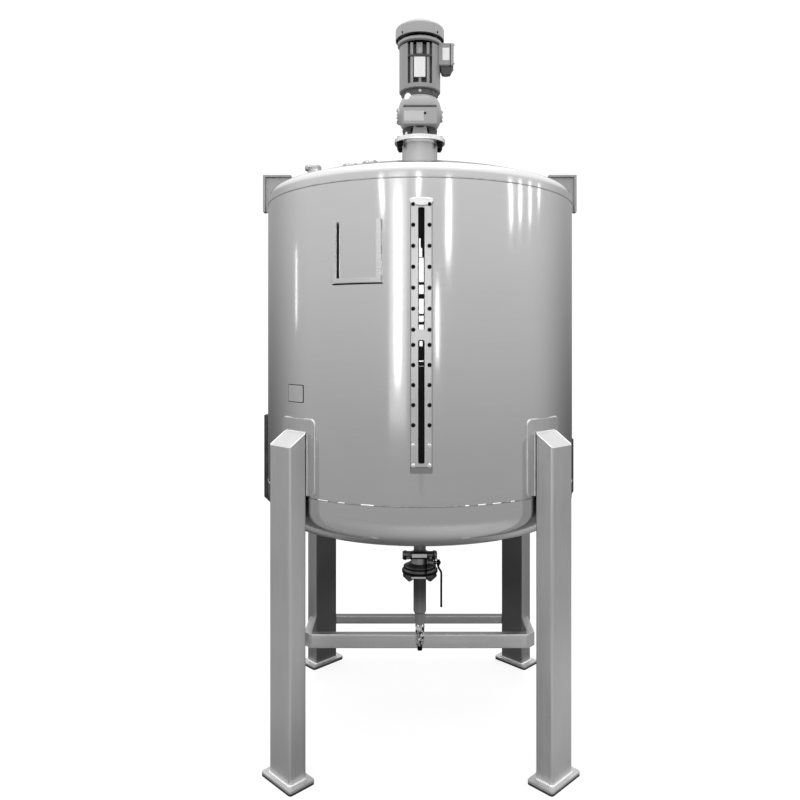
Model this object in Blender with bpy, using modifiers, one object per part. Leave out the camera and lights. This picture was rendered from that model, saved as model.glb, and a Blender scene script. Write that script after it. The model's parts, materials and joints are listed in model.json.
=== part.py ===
"""Mixing tank: a stainless vessel on four legs, with a sight strip, a bottom outlet and a top drive.

Frame: metres, +Z up, origin on the floor under the middle of the tank. The sight strip faces -Y.
"""
import math

import bmesh
import bpy
from mathutils import Vector

# Clearance between pieces, merge distance and steps of turned shapes, and a cutter's run past its cut
GAP = 0.0003
MERGE = 0.00005
ROUND_STEPS = 64
DRIVE_STEPS = 36
SMALL_STEPS = 24
FINE_STEPS = 16
OVERCUT = 0.020

# Vessel
SHELL_R = 0.700
WALL = 0.005
SHELL_Z0 = 1.120
SHELL_Z1 = 2.350
BOTTOM_FLANGE = 0.055
BOTTOM_CROWN = 2.200
BOTTOM_KNUCKLE = 0.120
TOP_FLANGE = 0.025
TOP_CROWN = 2.050
TOP_KNUCKLE = 0.040
CROWN_POINTS = 4
KNUCKLE_POINTS = 3
OUTLET_BORE = 0.0265
DRIVE_OPENING = 0.060

# Legs, their pads on the shell and their feet
LEG_AZIMUTHS = {
    "front_left": math.radians(225),
    "front_right": math.radians(315),
    "back_left": math.radians(135),
    "back_right": math.radians(45),
}
LEG_RADIAL = 0.080
LEG_TANGENT = 0.140
LEG_CORNER = 0.010
PAD_THICK = 0.006
PAD_WIDTH = 0.212
PAD_Z0 = 1.130
PAD_Z1 = 1.430
PAD_CORNER = 0.020
LEG_TOP_OUTER = 1.324
LEG_TOP_INNER = 1.378
RUBBER_HIGH = 0.008
PLATE_HIGH = 0.010
PLATE_RADIAL = 0.120
PLATE_TANGENT = 0.200
PLATE_CORNER = 0.012

# Rails low between the legs
RAIL_WIDE = 0.040
RAIL_EDGE = 0.005
SIDE_RAIL_X = 0.568
CROSS_RAIL_Y0 = 0.2415
RAIL_Z0 = 0.191
RAIL_Z1 = 0.262
BACK_RAIL_Y = 0.5775
BACK_RAIL_Z1 = 0.234

# Sight strip on the front
STRIP_WIDE = 0.083
STRIP_Z0 = 1.248
STRIP_Z1 = 2.258
STRIP_BASE_Y = 0.716
STRIP_COVER_THICK = 0.0163
STRIP_CORNER = 0.006
WINDOW_WIDE = 0.022
WINDOWS = {"lower": (1.287, 1.742), "upper": (1.779, 2.232)}
GLASS_WIDE = 0.044
GLASS_THICK = 0.006
GLASS_LAP = 0.011

# Holder for a plate, left of the sight strip
HOLDER_AZIMUTH = math.radians(-110.4)
HOLDER_WIDE = 0.205
HOLDER_Z0 = 1.958
HOLDER_Z1 = 2.196
HOLDER_BAR = 0.012
HOLDER_THICK = 0.008

# Lifting ears and flat bars on the two sides
EAR_X0 = 0.605
EAR_X1 = 0.735
EAR_Z0 = 2.346
EAR_Z1 = 2.522
EAR_THICK = 0.012
EAR_LIP = 0.012
EAR_LIP_DEEP = 0.040
SIDE_BARS = {"left": (-1, 0.028, 0.962, 1.397), "right": (1, 0.019, 0.987, 1.285)}
SIDE_BAR_THICK = 0.050
SIDE_BAR_FOOT = 0.053

# Capped nozzles on the top head: place on X, clamp radius, top height
NOZZLES = {
    "outer": (-0.502, 0.0385, 2.568),
    "middle": (-0.324, 0.0385, 2.575),
    "inner": (-0.233, 0.0365, 2.589),
}
NOZZLE_NECK = 0.0255
NOZZLE_CLAMP_HIGH = 0.024
NOZZLE_CHAMFER = 0.006
NOZZLE_FOOT_Z = 2.420

# Outlet, valve and drain under the bottom head
NECK_R = 0.0285
NECK_WALL = 0.002
CLAMP_Z0 = 0.7165
CLAMP_Z1 = 0.7538
CLAMP_RING_R = 0.052
CLAMP_EAR_X = 0.0825
CLAMP_EAR_DEEP = 0.040
CLAMP_STEP = 0.002
VALVE_Z0 = 0.6125
VALVE_PROFILE = ((0.046, 0.0), (0.046, -0.014), (0.0825, -0.048), (0.0825, -0.070))
VALVE_FOOT_R = 0.042
STEM_Z = 0.700
STEM_R = 0.009
STEM_END_X = 0.0795
DRAIN_R = 0.030
DRAIN_Z0 = 0.4665
SPIGOT_R = 0.0235
SPIGOT_Z0 = 0.415
DRAIN_CHAMFER = 0.006
COCK_R = 0.022
COCK_Z0 = 0.311
COCK_WAIST = 0.017
COCK_LAND = 0.006
COCK_SLOPE = 0.008
COCK_GROOVE = 0.004
TIP_R = 0.012
TIP_Z0 = 0.288
TIP_CHAMFER = 0.003

# Hand lever on the valve stem, hanging straight down when the valve is open
HUB_R = 0.011
HUB_X1 = 0.0945
KNOB_R = 0.007
KNOB_X1 = 0.1035
KNOB_SIDES = 6
LEVER_R = 0.0035
LEVER_SUNK = 0.004
LEVER_X = 0.0985
LEVER_BEND_Z = 0.660
LEVER_Z0 = 0.511
LEVER_BALL_R = 0.006
BALL_POINTS = 6

# Drive on the top head
MOUNT_TUBE_R = 0.0825
MOUNT_TUBE_WALL = 0.004
MOUNT_FLANGE_R = 0.1185
MOUNT_FLANGE_Z0 = 2.6667
MOUNT_FLANGE_Z1 = 2.687
LANTERN_R = 0.082
LANTERN_Z1 = 2.733
LANTERN_PLATE = 0.009
LANTERN_CORE_R = 0.036
LANTERN_POST_WIDE = 0.030
LANTERN_POST_BACK = 0.004
GEARBOX_HALF_X = 0.078
GEARBOX_FRONT_Y = -0.105
GEARBOX_BACK_Y = 0.092
GEARBOX_BLOCK_Z1 = 2.812
GEARBOX_EDGE = 0.006
BARREL_PROFILE = (
    (0.080, 2.8793), (0.092, 2.862), (0.099, 2.835),
    (0.101, 2.800), (0.095, 2.765), (0.080, 2.745),
)
COVER_X0 = 0.090
COVER_X1 = 0.110
COVER_R = 0.042
COVER_SMALL_R = 0.0315
COVER_TAPER = 0.9
COVER_Z = 2.800
MOTOR_FLANGE_R = 0.0825
MOTOR_FLANGE_Z0 = 2.8796
MOTOR_FLANGE_Z1 = 2.907
MOTOR_R = 0.0963
MOTOR_Z1 = 3.1747
MOTOR_FOOT_CHAMFER = 0.008
RECESS_Z0 = 2.927
RECESS_Z1 = 3.124
RECESS_HALF_X = 0.056
RECESS_DEEP = 0.034
COWL_R = 0.114
COWL_SKIRT = 0.0035
COWL_Z0 = 3.1516
COWL_SHOULDER_Z = 3.210
COWL_TOP_R = 0.0585
COWL_Z1 = 3.235
TERMINAL_X0 = 0.070
TERMINAL_X1 = 0.1578
TERMINAL_HALF_Y = 0.045
TERMINAL_Z0 = 3.0254
TERMINAL_Z1 = 3.129
TERMINAL_EDGE = 0.006
GLAND_X = 0.127
GLAND_TOP_R = 0.028
GLAND_LOW_R = 0.018
GLAND_Z0 = 2.9766

for leftover in list(bpy.data.objects):
    bpy.data.objects.remove(leftover, do_unlink=True)

PARTS = bpy.data.collections.new("mixing_tank")
CUTTERS = bpy.data.collections.new("cutters")
bpy.context.scene.collection.children.link(PARTS)
bpy.context.scene.collection.children.link(CUTTERS)


def finish(name, shade, roughness, metallic):
    """Make a Principled material of one grey shade."""
    material = bpy.data.materials.new(name)
    material.use_nodes = True
    shader = material.node_tree.nodes["Principled BSDF"]
    shader.inputs["Base Color"].default_value = (shade, shade, shade * 1.01, 1.0)
    shader.inputs["Roughness"].default_value = roughness
    shader.inputs["Metallic"].default_value = metallic
    return material


POLISHED = finish("polished_steel", 0.62, 0.22, 1.0)
SATIN = finish("satin_steel", 0.50, 0.38, 1.0)
DARK_STEEL = finish("dark_steel", 0.18, 0.45, 0.8)
DRIVE_PAINT = finish("drive_paint", 0.33, 0.45, 0.0)
CHROME = finish("bright_chrome", 0.75, 0.12, 1.0)
RUBBER = finish("black_rubber", 0.02, 0.70, 0.0)
GLASS = finish("sight_glass", 0.03, 0.05, 0.0)


def add_object(name, mesh, material):
    """Put a mesh in the parts collection under its node name."""
    obj = bpy.data.objects.new(name, mesh)
    mesh.materials.append(material)
    PARTS.objects.link(obj)
    return obj


def as_cutter(obj):
    """Move an object to the cutters, out of the finished model."""
    PARTS.objects.unlink(obj)
    CUTTERS.objects.link(obj)
    obj.hide_render = True
    obj.display_type = 'WIRE'
    return obj


def combine(obj, other, operation):
    """Join or cut obj by another object, which becomes a cutter."""
    if other.name not in CUTTERS.objects:
        as_cutter(other)
    modifier = obj.modifiers.new(operation.lower(), 'BOOLEAN')
    modifier.operation = operation
    modifier.solver = 'EXACT'
    modifier.object = other
    return obj


def block(name, material, size, centre, turn=0.0, round_axis=None, radius=0.0, segments=3):
    """Make a box, with the edges along one axis rounded where round_axis is given."""
    solid = bmesh.new()
    bmesh.ops.create_cube(solid, size=1.0)
    bmesh.ops.scale(solid, vec=Vector(size), verts=solid.verts)
    if round_axis is not None:
        along = []
        for edge in solid.edges:
            run = edge.verts[1].co - edge.verts[0].co
            if abs(run[round_axis]) > 0.5 * size[round_axis]:
                along.append(edge)
        bmesh.ops.bevel(solid, geom=along, offset=radius, segments=segments, affect='EDGES', profile=0.5)
    mesh = bpy.data.meshes.new(name)
    solid.to_mesh(mesh)
    solid.free()
    obj = add_object(name, mesh, material)
    obj.location = centre
    obj.rotation_euler.z = turn
    return obj


def spanned_block(name, material, low, high, **rounding):
    """Make a box between two corners."""
    size = [high[axis] - low[axis] for axis in range(3)]
    centre = [0.5 * (high[axis] + low[axis]) for axis in range(3)]
    return block(name, material, size, centre, **rounding)


def round_bar(name, material, start, end, start_r, end_r, segments=SMALL_STEPS):
    """Make a cylinder or cone between two points."""
    start = Vector(start)
    run = Vector(end) - start
    solid = bmesh.new()
    bmesh.ops.create_cone(
        solid, cap_ends=True, segments=segments, radius1=start_r, radius2=end_r, depth=run.length)
    mesh = bpy.data.meshes.new(name)
    solid.to_mesh(mesh)
    solid.free()
    mesh.shade_smooth()
    mesh.set_sharp_from_angle(angle=math.radians(35))
    obj = add_object(name, mesh, material)
    obj.location = start + 0.5 * run
    obj.rotation_mode = 'QUATERNION'
    obj.rotation_quaternion = run.to_track_quat('Z', 'Y')
    return obj


def turned(name, material, profile, closed=False, steps=ROUND_STEPS, place=(0.0, 0.0, 0.0)):
    """Turn a profile of (radius, height) points about a vertical axis."""
    mesh = bpy.data.meshes.new(name)
    links = [(index, index + 1) for index in range(len(profile) - 1)]
    if closed:
        links.append((len(profile) - 1, 0))
    mesh.from_pydata([(radius, 0.0, height) for radius, height in profile], links, [])
    obj = add_object(name, mesh, material)
    obj.location = place
    screw = obj.modifiers.new("turn", 'SCREW')
    screw.steps = steps
    screw.render_steps = steps
    screw.use_merge_vertices = True
    screw.merge_threshold = MERGE
    screw.use_smooth_shade = True
    return obj


def trim(obj, point, normal):
    """Cut away what lies beyond a world plane, on the side of its normal, and close the cut."""
    to_local = obj.matrix_basis.inverted()
    solid = bmesh.new()
    solid.from_mesh(obj.data)
    everything = solid.verts[:] + solid.edges[:] + solid.faces[:]
    bmesh.ops.bisect_plane(
        solid,
        geom=everything,
        plane_co=to_local @ Vector(point),
        plane_no=to_local.to_3x3() @ Vector(normal),
        clear_outer=True,
    )
    rim = [edge for edge in solid.edges if edge.is_boundary]
    bmesh.ops.holes_fill(solid, edges=rim)
    solid.to_mesh(obj.data)
    solid.free()
    return obj


def polar(azimuth, radius, height=0.0):
    """Give the point at a radius and height in one direction from the tank's axis."""
    return Vector((radius * math.cos(azimuth), radius * math.sin(azimuth), height))


def dished_arc(outer_r, knuckle, crown, opening):
    """List (radius, rise) points of a dished head, from its rim up to an opening at the middle."""
    knuckle_r = outer_r - knuckle
    lean = math.asin(knuckle_r / (crown - knuckle))
    centre_drop = math.sqrt((crown - knuckle) ** 2 - knuckle_r ** 2)
    points = []
    for step in range(KNUCKLE_POINTS + 1):
        angle = (math.pi / 2 - lean) * step / KNUCKLE_POINTS
        points.append((knuckle_r + knuckle * math.cos(angle), knuckle * math.sin(angle)))
    end_lean = math.asin(opening / crown)
    for step in range(1, CROWN_POINTS + 1):
        angle = lean + (end_lean - lean) * step / CROWN_POINTS
        points.append((crown * math.sin(angle), crown * math.cos(angle) - centre_drop))
    return points


def head_profile(rim_z, flange, knuckle, crown, opening, up):
    """List the closed section of a hollow head, top surface running outwards and down."""
    outer = dished_arc(SHELL_R, knuckle, crown, opening)
    inner = dished_arc(SHELL_R - WALL, knuckle - WALL, crown - WALL, opening)
    tangent_z = rim_z + up * flange
    outer_run = [(SHELL_R, rim_z)] + [(radius, tangent_z + up * rise) for radius, rise in outer]
    inner_run = [(SHELL_R - WALL, rim_z)] + [(radius, tangent_z + up * rise) for radius, rise in inner]
    if up > 0:
        return list(reversed(outer_run)) + inner_run
    return outer_run + list(reversed(inner_run))


def build_vessel():
    """Make the shell and the two dished heads."""
    shell = turned("shell", POLISHED, [
        (SHELL_R, SHELL_Z1),
        (SHELL_R, SHELL_Z0),
        (SHELL_R - WALL, SHELL_Z0),
        (SHELL_R - WALL, SHELL_Z1),
    ], closed=True)
    for place, (low, high) in WINDOWS.items():
        combine(shell, window_cutter("shell_window_" + place, low, high), 'DIFFERENCE')
    turned("top_head", POLISHED, head_profile(
        SHELL_Z1 + GAP, TOP_FLANGE, TOP_KNUCKLE, TOP_CROWN, DRIVE_OPENING, 1), closed=True)
    turned("bottom_head", POLISHED, head_profile(
        SHELL_Z0 - GAP, BOTTOM_FLANGE, BOTTOM_KNUCKLE, BOTTOM_CROWN, OUTLET_BORE, -1), closed=True)


def window_cutter(name, low, high):
    """Make the round-ended slot of one sight window."""
    return spanned_block(
        name, GLASS,
        (-0.5 * WINDOW_WIDE, -SHELL_R - 4 * OVERCUT, low),
        (0.5 * WINDOW_WIDE, -SHELL_R + 2 * OVERCUT, high),
        round_axis=1, radius=0.49 * WINDOW_WIDE, segments=4,
    )


def head_crest(crown, knuckle):
    """Give the full rise of a dished head above its flange."""
    return crown - math.sqrt((crown - knuckle) ** 2 - (SHELL_R - knuckle) ** 2)


def dome_envelope():
    """Make the outer form of the top of the vessel, a gap larger, to cut what sits on it."""
    arc = dished_arc(SHELL_R, TOP_KNUCKLE, TOP_CROWN, DRIVE_OPENING)
    base_z = SHELL_Z1 + GAP + TOP_FLANGE
    surface = [(radius * (1.0 + GAP / SHELL_R), base_z + rise + GAP) for radius, rise in arc]
    crest = (0.0, surface[-1][1])
    run = [crest] + list(reversed(surface)) + [(SHELL_R + GAP, EAR_Z0 - OVERCUT), (0.0, EAR_Z0 - OVERCUT)]
    return as_cutter(turned("dome_envelope", POLISHED, run))


def build_legs():
    """Make each leg with its pad, base plate and rubber foot."""
    inner_r = SHELL_R + GAP + PAD_THICK + GAP
    centre_r = inner_r + 0.5 * LEG_RADIAL
    foot_z = RUBBER_HIGH + GAP + PLATE_HIGH + GAP
    for place, azimuth in LEG_AZIMUTHS.items():
        leg = block(
            "leg_" + place, SATIN,
            (LEG_RADIAL, LEG_TANGENT, LEG_TOP_INNER - foot_z),
            polar(azimuth, centre_r, 0.5 * (LEG_TOP_INNER + foot_z)),
            turn=azimuth, round_axis=2, radius=LEG_CORNER,
        )
        slope = polar(azimuth, LEG_TOP_INNER - LEG_TOP_OUTER, LEG_RADIAL)
        trim(leg, polar(azimuth, inner_r + LEG_RADIAL, LEG_TOP_OUTER), slope)
        pad = turned("leg_pad_" + place, POLISHED, [
            (SHELL_R + GAP + PAD_THICK, PAD_Z1 + OVERCUT),
            (SHELL_R + GAP + PAD_THICK, PAD_Z0 - OVERCUT),
            (SHELL_R + GAP, PAD_Z0 - OVERCUT),
            (SHELL_R + GAP, PAD_Z1 + OVERCUT),
        ], closed=True)
        outline = block(
            "pad_outline_" + place, POLISHED,
            (4 * OVERCUT + PAD_THICK, PAD_WIDTH, PAD_Z1 - PAD_Z0),
            polar(azimuth, SHELL_R, 0.5 * (PAD_Z0 + PAD_Z1)),
            turn=azimuth, round_axis=0, radius=PAD_CORNER,
        )
        combine(pad, outline, 'INTERSECT')
        block(
            "base_plate_" + place, SATIN,
            (PLATE_RADIAL, PLATE_TANGENT, PLATE_HIGH),
            polar(azimuth, centre_r, RUBBER_HIGH + GAP + 0.5 * PLATE_HIGH),
            turn=azimuth, round_axis=2, radius=PLATE_CORNER,
        )
        block(
            "rubber_foot_" + place, RUBBER,
            (PLATE_RADIAL, PLATE_TANGENT, RUBBER_HIGH),
            polar(azimuth, centre_r, 0.5 * RUBBER_HIGH),
            turn=azimuth, round_axis=2, radius=PLATE_CORNER,
        )


def leg_face_distance():
    """Give x - y on the plane of a back leg's side face, where the rails meet it."""
    return LEG_TANGENT * math.sqrt(0.5)


def build_rails():
    """Make the low rails: two slanted-end sides, the cross rail between them and the back rail."""
    face = leg_face_distance()
    half = 0.5 * RAIL_WIDE
    skew = GAP * math.sqrt(2)
    inner_x = SIDE_RAIL_X - half
    for place, side in (("left", -1), ("right", 1)):
        low_x = min(side * inner_x, side * (SIDE_RAIL_X + half))
        rail = spanned_block(
            "side_rail_" + place, SATIN,
            (low_x, CROSS_RAIL_Y0 - RAIL_WIDE - OVERCUT, RAIL_Z0), (low_x + RAIL_WIDE, BACK_RAIL_Y, RAIL_Z1),
            round_axis=1, radius=RAIL_EDGE,
        )
        trim(rail, (side * inner_x, inner_x - face - skew, RAIL_Z0), (-side, 1.0, 0.0))
        trim(rail, (side * inner_x, CROSS_RAIL_Y0, RAIL_Z0), (side, -1.0, 0.0))
    spanned_block(
        "cross_rail", SATIN,
        (-inner_x + GAP, CROSS_RAIL_Y0, RAIL_Z0), (inner_x - GAP, CROSS_RAIL_Y0 + RAIL_WIDE, RAIL_Z1),
        round_axis=0, radius=RAIL_EDGE,
    )
    back = spanned_block(
        "back_rail", SATIN,
        (-BACK_RAIL_Y, BACK_RAIL_Y - half, RAIL_Z0), (BACK_RAIL_Y, BACK_RAIL_Y + half, BACK_RAIL_Z1),
        round_axis=0, radius=RAIL_EDGE,
    )
    for side in (-1, 1):
        trim(back, (side * (BACK_RAIL_Y - face - skew), BACK_RAIL_Y, RAIL_Z0), (side, -1.0, 0.0))


def build_sight_strip():
    """Make the frame on the shell, the bolted cover and the two glasses in it."""
    frame = spanned_block(
        "sight_frame", POLISHED,
        (-0.5 * STRIP_WIDE, -STRIP_BASE_Y, STRIP_Z0), (0.5 * STRIP_WIDE, -SHELL_R + OVERCUT, STRIP_Z1),
        round_axis=1, radius=STRIP_CORNER,
    )
    shell_form = turned("shell_form", POLISHED, [
        (0.0, STRIP_Z1 + OVERCUT), (SHELL_R + GAP, STRIP_Z1 + OVERCUT),
        (SHELL_R + GAP, STRIP_Z0 - OVERCUT), (0.0, STRIP_Z0 - OVERCUT),
    ])
    combine(frame, shell_form, 'DIFFERENCE')
    cover_back = STRIP_BASE_Y + GAP
    cover = spanned_block(
        "sight_cover", SATIN,
        (-0.5 * STRIP_WIDE, -cover_back - STRIP_COVER_THICK, STRIP_Z0),
        (0.5 * STRIP_WIDE, -cover_back, STRIP_Z1),
        round_axis=1, radius=STRIP_CORNER,
    )
    for place, (low, high) in WINDOWS.items():
        slot = window_cutter("strip_window_" + place, low, high)
        combine(frame, slot, 'DIFFERENCE')
        combine(cover, slot, 'DIFFERENCE')
        glass_low = (-0.5 * GLASS_WIDE, -cover_back - GLASS_THICK, low - GLASS_LAP)
        glass_high = (0.5 * GLASS_WIDE, -cover_back, high + GLASS_LAP)
        pocket = spanned_block(
            "glass_pocket_" + place, SATIN,
            [value - GAP for value in glass_low],
            (glass_high[0] + GAP, -cover_back + OVERCUT, glass_high[2] + GAP),
        )
        combine(cover, pocket, 'DIFFERENCE')
        spanned_block("sight_glass_" + place, GLASS, glass_low, glass_high)


def build_holder():
    """Make the open-topped plate holder that follows the shell."""
    outer_r = SHELL_R + GAP + HOLDER_THICK
    holder = turned("plate_holder", POLISHED, [
        (outer_r, HOLDER_Z1 + OVERCUT), (outer_r, HOLDER_Z0 - OVERCUT),
        (SHELL_R + GAP, HOLDER_Z0 - OVERCUT), (SHELL_R + GAP, HOLDER_Z1 + OVERCUT),
    ], closed=True)
    middle = polar(HOLDER_AZIMUTH, SHELL_R, 0.5 * (HOLDER_Z0 + HOLDER_Z1))
    outline = block(
        "holder_outline", POLISHED,
        (4 * OVERCUT + HOLDER_THICK, HOLDER_WIDE, HOLDER_Z1 - HOLDER_Z0), middle, turn=HOLDER_AZIMUTH,
    )
    inside = block(
        "holder_inside", POLISHED,
        (8 * OVERCUT, HOLDER_WIDE - 2 * HOLDER_BAR, HOLDER_Z1 - HOLDER_Z0),
        middle + Vector((0.0, 0.0, HOLDER_BAR)), turn=HOLDER_AZIMUTH,
    )
    combine(holder, outline, 'INTERSECT')
    combine(holder, inside, 'DIFFERENCE')


def build_side_fittings(envelope):
    """Make the lifting ears at the top rim and the flat bars low on both sides."""
    for place, side in (("left", -1), ("right", 1)):
        low_x = min(side * EAR_X0, side * EAR_X1)
        high_x = max(side * EAR_X0, side * EAR_X1)
        half = 0.5 * EAR_THICK
        ear = spanned_block("lifting_ear_" + place, POLISHED, (low_x, -half, EAR_Z0), (high_x, half, EAR_Z1))
        edge_x = sorted((side * (EAR_X1 - EAR_LIP), side * EAR_X1))
        top_lip = spanned_block(
            "ear_top_lip_" + place, POLISHED,
            (low_x, -0.5 * EAR_LIP_DEEP, EAR_Z1 - EAR_LIP), (high_x, 0.5 * EAR_LIP_DEEP, EAR_Z1),
        )
        edge_lip = spanned_block(
            "ear_edge_lip_" + place, POLISHED,
            (edge_x[0], -0.5 * EAR_LIP_DEEP, EAR_Z0), (edge_x[1], 0.5 * EAR_LIP_DEEP, EAR_Z1),
        )
        combine(ear, top_lip, 'UNION')
        combine(ear, edge_lip, 'UNION')
        combine(ear, envelope, 'DIFFERENCE')
    for place, (side, proud, low_z, high_z) in SIDE_BARS.items():
        near = side * (SHELL_R - OVERCUT)
        far = side * (SHELL_R + proud)
        bar = spanned_block(
            "side_bar_" + place, DARK_STEEL,
            (min(near, far), -0.5 * SIDE_BAR_THICK, low_z), (max(near, far), 0.5 * SIDE_BAR_THICK, high_z),
        )
        trim(bar, (far, 0.0, low_z + SIDE_BAR_FOOT), (side * SIDE_BAR_FOOT, 0.0, -2.0 * proud))
        body = turned("bar_shell_form_" + place, POLISHED, [
            (0.0, high_z + OVERCUT), (SHELL_R + GAP, high_z + OVERCUT),
            (SHELL_R + GAP, low_z - OVERCUT), (0.0, low_z - OVERCUT),
        ])
        combine(bar, body, 'DIFFERENCE')


def build_nozzles(envelope):
    """Make the capped nozzles that stand on the top head."""
    for place, (x_place, clamp_r, top_z) in NOZZLES.items():
        shoulder_z = top_z - NOZZLE_CLAMP_HIGH
        nozzle = turned("nozzle_" + place, POLISHED, [
            (0.0, top_z),
            (clamp_r - NOZZLE_CHAMFER, top_z),
            (clamp_r, top_z - NOZZLE_CHAMFER),
            (clamp_r, shoulder_z + NOZZLE_CHAMFER),
            (clamp_r - NOZZLE_CHAMFER, shoulder_z),
            (NOZZLE_NECK, shoulder_z),
            (NOZZLE_NECK, NOZZLE_FOOT_Z),
            (0.0, NOZZLE_FOOT_Z),
        ], steps=SMALL_STEPS, place=(x_place, 0.0, 0.0))
        combine(nozzle, envelope, 'DIFFERENCE')


def build_outlet():
    """Make the outlet neck, clamp, valve body, drain pipe and sample cock."""
    head_low_z = SHELL_Z0 - GAP - BOTTOM_FLANGE - head_crest(BOTTOM_CROWN, BOTTOM_KNUCKLE)
    neck_top = head_low_z - GAP
    turned("outlet_neck", SATIN, [
        (NECK_R, neck_top), (NECK_R, CLAMP_Z1 + GAP),
        (NECK_R - NECK_WALL, CLAMP_Z1 + GAP), (NECK_R - NECK_WALL, neck_top),
    ], closed=True, steps=SMALL_STEPS)
    clamp = turned("outlet_clamp", DARK_STEEL, [
        (CLAMP_RING_R, CLAMP_Z1), (CLAMP_RING_R, CLAMP_Z0),
        (OUTLET_BORE, CLAMP_Z0), (OUTLET_BORE, CLAMP_Z1),
    ], closed=True, steps=SMALL_STEPS)
    for side in (-1, 1):
        reach = sorted((side * 0.5 * (OUTLET_BORE + CLAMP_RING_R), side * CLAMP_EAR_X))
        ear = spanned_block(
            "clamp_ear_%d" % side, DARK_STEEL,
            (reach[0], -0.5 * CLAMP_EAR_DEEP, CLAMP_Z0 + CLAMP_STEP),
            (reach[1], 0.5 * CLAMP_EAR_DEEP, CLAMP_Z1 - CLAMP_STEP),
        )
        combine(clamp, ear, 'UNION')
    valve_top = CLAMP_Z0 - GAP
    outer = [(radius, valve_top + rise) for radius, rise in VALVE_PROFILE]
    valve = turned("valve_body", SATIN, outer + [
        (VALVE_FOOT_R, VALVE_Z0), (OUTLET_BORE, VALVE_Z0), (OUTLET_BORE, valve_top),
    ], closed=True, steps=SMALL_STEPS)
    stem = round_bar(
        "valve_stem_form", DARK_STEEL,
        (0.5 * (OUTLET_BORE + VALVE_PROFILE[0][0]), 0.0, STEM_Z), (STEM_END_X, 0.0, STEM_Z),
        STEM_R, STEM_R, FINE_STEPS,
    )
    combine(valve, stem, 'UNION')
    turned("drain_pipe", SATIN, [
        (DRAIN_R, VALVE_Z0 - GAP),
        (DRAIN_R, DRAIN_Z0 + DRAIN_CHAMFER),
        (SPIGOT_R, DRAIN_Z0),
        (SPIGOT_R, SPIGOT_Z0),
        (SPIGOT_R - NECK_WALL, SPIGOT_Z0),
        (SPIGOT_R - NECK_WALL, DRAIN_Z0),
        (OUTLET_BORE, DRAIN_Z0 + DRAIN_CHAMFER),
        (OUTLET_BORE, VALVE_Z0 - GAP),
    ], closed=True, steps=SMALL_STEPS)
    cock_top = SPIGOT_Z0 - GAP
    cock_mid = 0.5 * (cock_top + COCK_Z0)
    cock_land = cock_top - COCK_LAND
    groove_half = COCK_GROOVE + COCK_SLOPE
    turned("sample_cock", CHROME, [
        (0.0, cock_top), (SPIGOT_R, cock_top), (SPIGOT_R, cock_land),
        (COCK_WAIST, cock_land - COCK_SLOPE), (COCK_R, cock_land - 2 * COCK_SLOPE),
        (COCK_R, cock_mid + groove_half), (COCK_WAIST, cock_mid + COCK_GROOVE),
        (COCK_WAIST, cock_mid - COCK_GROOVE), (COCK_R, cock_mid - groove_half),
        (COCK_R, COCK_Z0 + COCK_SLOPE), (COCK_WAIST, COCK_Z0), (0.0, COCK_Z0),
    ], steps=SMALL_STEPS)
    turned("drain_tip", RUBBER, [
        (0.0, COCK_Z0 - GAP), (TIP_R, COCK_Z0 - GAP), (TIP_R, TIP_Z0 + TIP_CHAMFER),
        (TIP_R - TIP_CHAMFER, TIP_Z0), (0.0, TIP_Z0),
    ], steps=FINE_STEPS)


def build_lever():
    """Make the hand lever: a hub on the stem, a knob and a bent rod, with its origin on the pivot."""
    pivot = Vector((0.5 * (STEM_END_X + GAP + HUB_X1), 0.0, STEM_Z))
    curve = bpy.data.curves.new("lever_path", 'CURVE')
    curve.dimensions = '3D'
    curve.bevel_depth = LEVER_R
    curve.bevel_resolution = 2
    curve.use_fill_caps = True
    route = [
        Vector((HUB_X1 - LEVER_SUNK, 0.0, STEM_Z - LEVER_SUNK)),
        Vector((LEVER_X, 0.0, LEVER_BEND_Z)),
        Vector((LEVER_X, 0.0, LEVER_Z0)),
    ]
    spline = curve.splines.new('POLY')
    spline.points.add(len(route) - 1)
    for point, target in zip(spline.points, route):
        point.co = (*(target - pivot), 1.0)
    path = bpy.data.objects.new("lever_path", curve)
    PARTS.objects.link(path)
    evaluated = path.evaluated_get(bpy.context.evaluated_depsgraph_get())
    mesh = bpy.data.meshes.new_from_object(evaluated)
    bpy.data.objects.remove(path, do_unlink=True)
    solid = bmesh.new()
    solid.from_mesh(mesh)
    bmesh.ops.remove_doubles(solid, verts=solid.verts, dist=MERGE)
    bmesh.ops.recalc_face_normals(solid, faces=solid.faces)
    solid.to_mesh(mesh)
    solid.free()
    mesh.materials.clear()
    lever = add_object("valve_lever", mesh, DARK_STEEL)
    lever.location = pivot
    hub = round_bar(
        "lever_hub_form", DARK_STEEL,
        (STEM_END_X + GAP, 0.0, STEM_Z), (HUB_X1, 0.0, STEM_Z), HUB_R, HUB_R, FINE_STEPS)
    knob = round_bar(
        "lever_knob_form", DARK_STEEL,
        (HUB_X1 - 0.5 * LEVER_SUNK, 0.0, STEM_Z), (KNOB_X1, 0.0, STEM_Z), KNOB_R, KNOB_R, KNOB_SIDES)
    ball = turned("lever_ball_form", DARK_STEEL, [
        (LEVER_BALL_R * math.sin(math.pi * step / BALL_POINTS),
         LEVER_Z0 + LEVER_BALL_R * math.cos(math.pi * step / BALL_POINTS))
        for step in range(BALL_POINTS + 1)
    ], steps=FINE_STEPS, place=(LEVER_X, 0.0, 0.0))
    for piece in (hub, knob, ball):
        combine(lever, piece, 'UNION')


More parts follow.
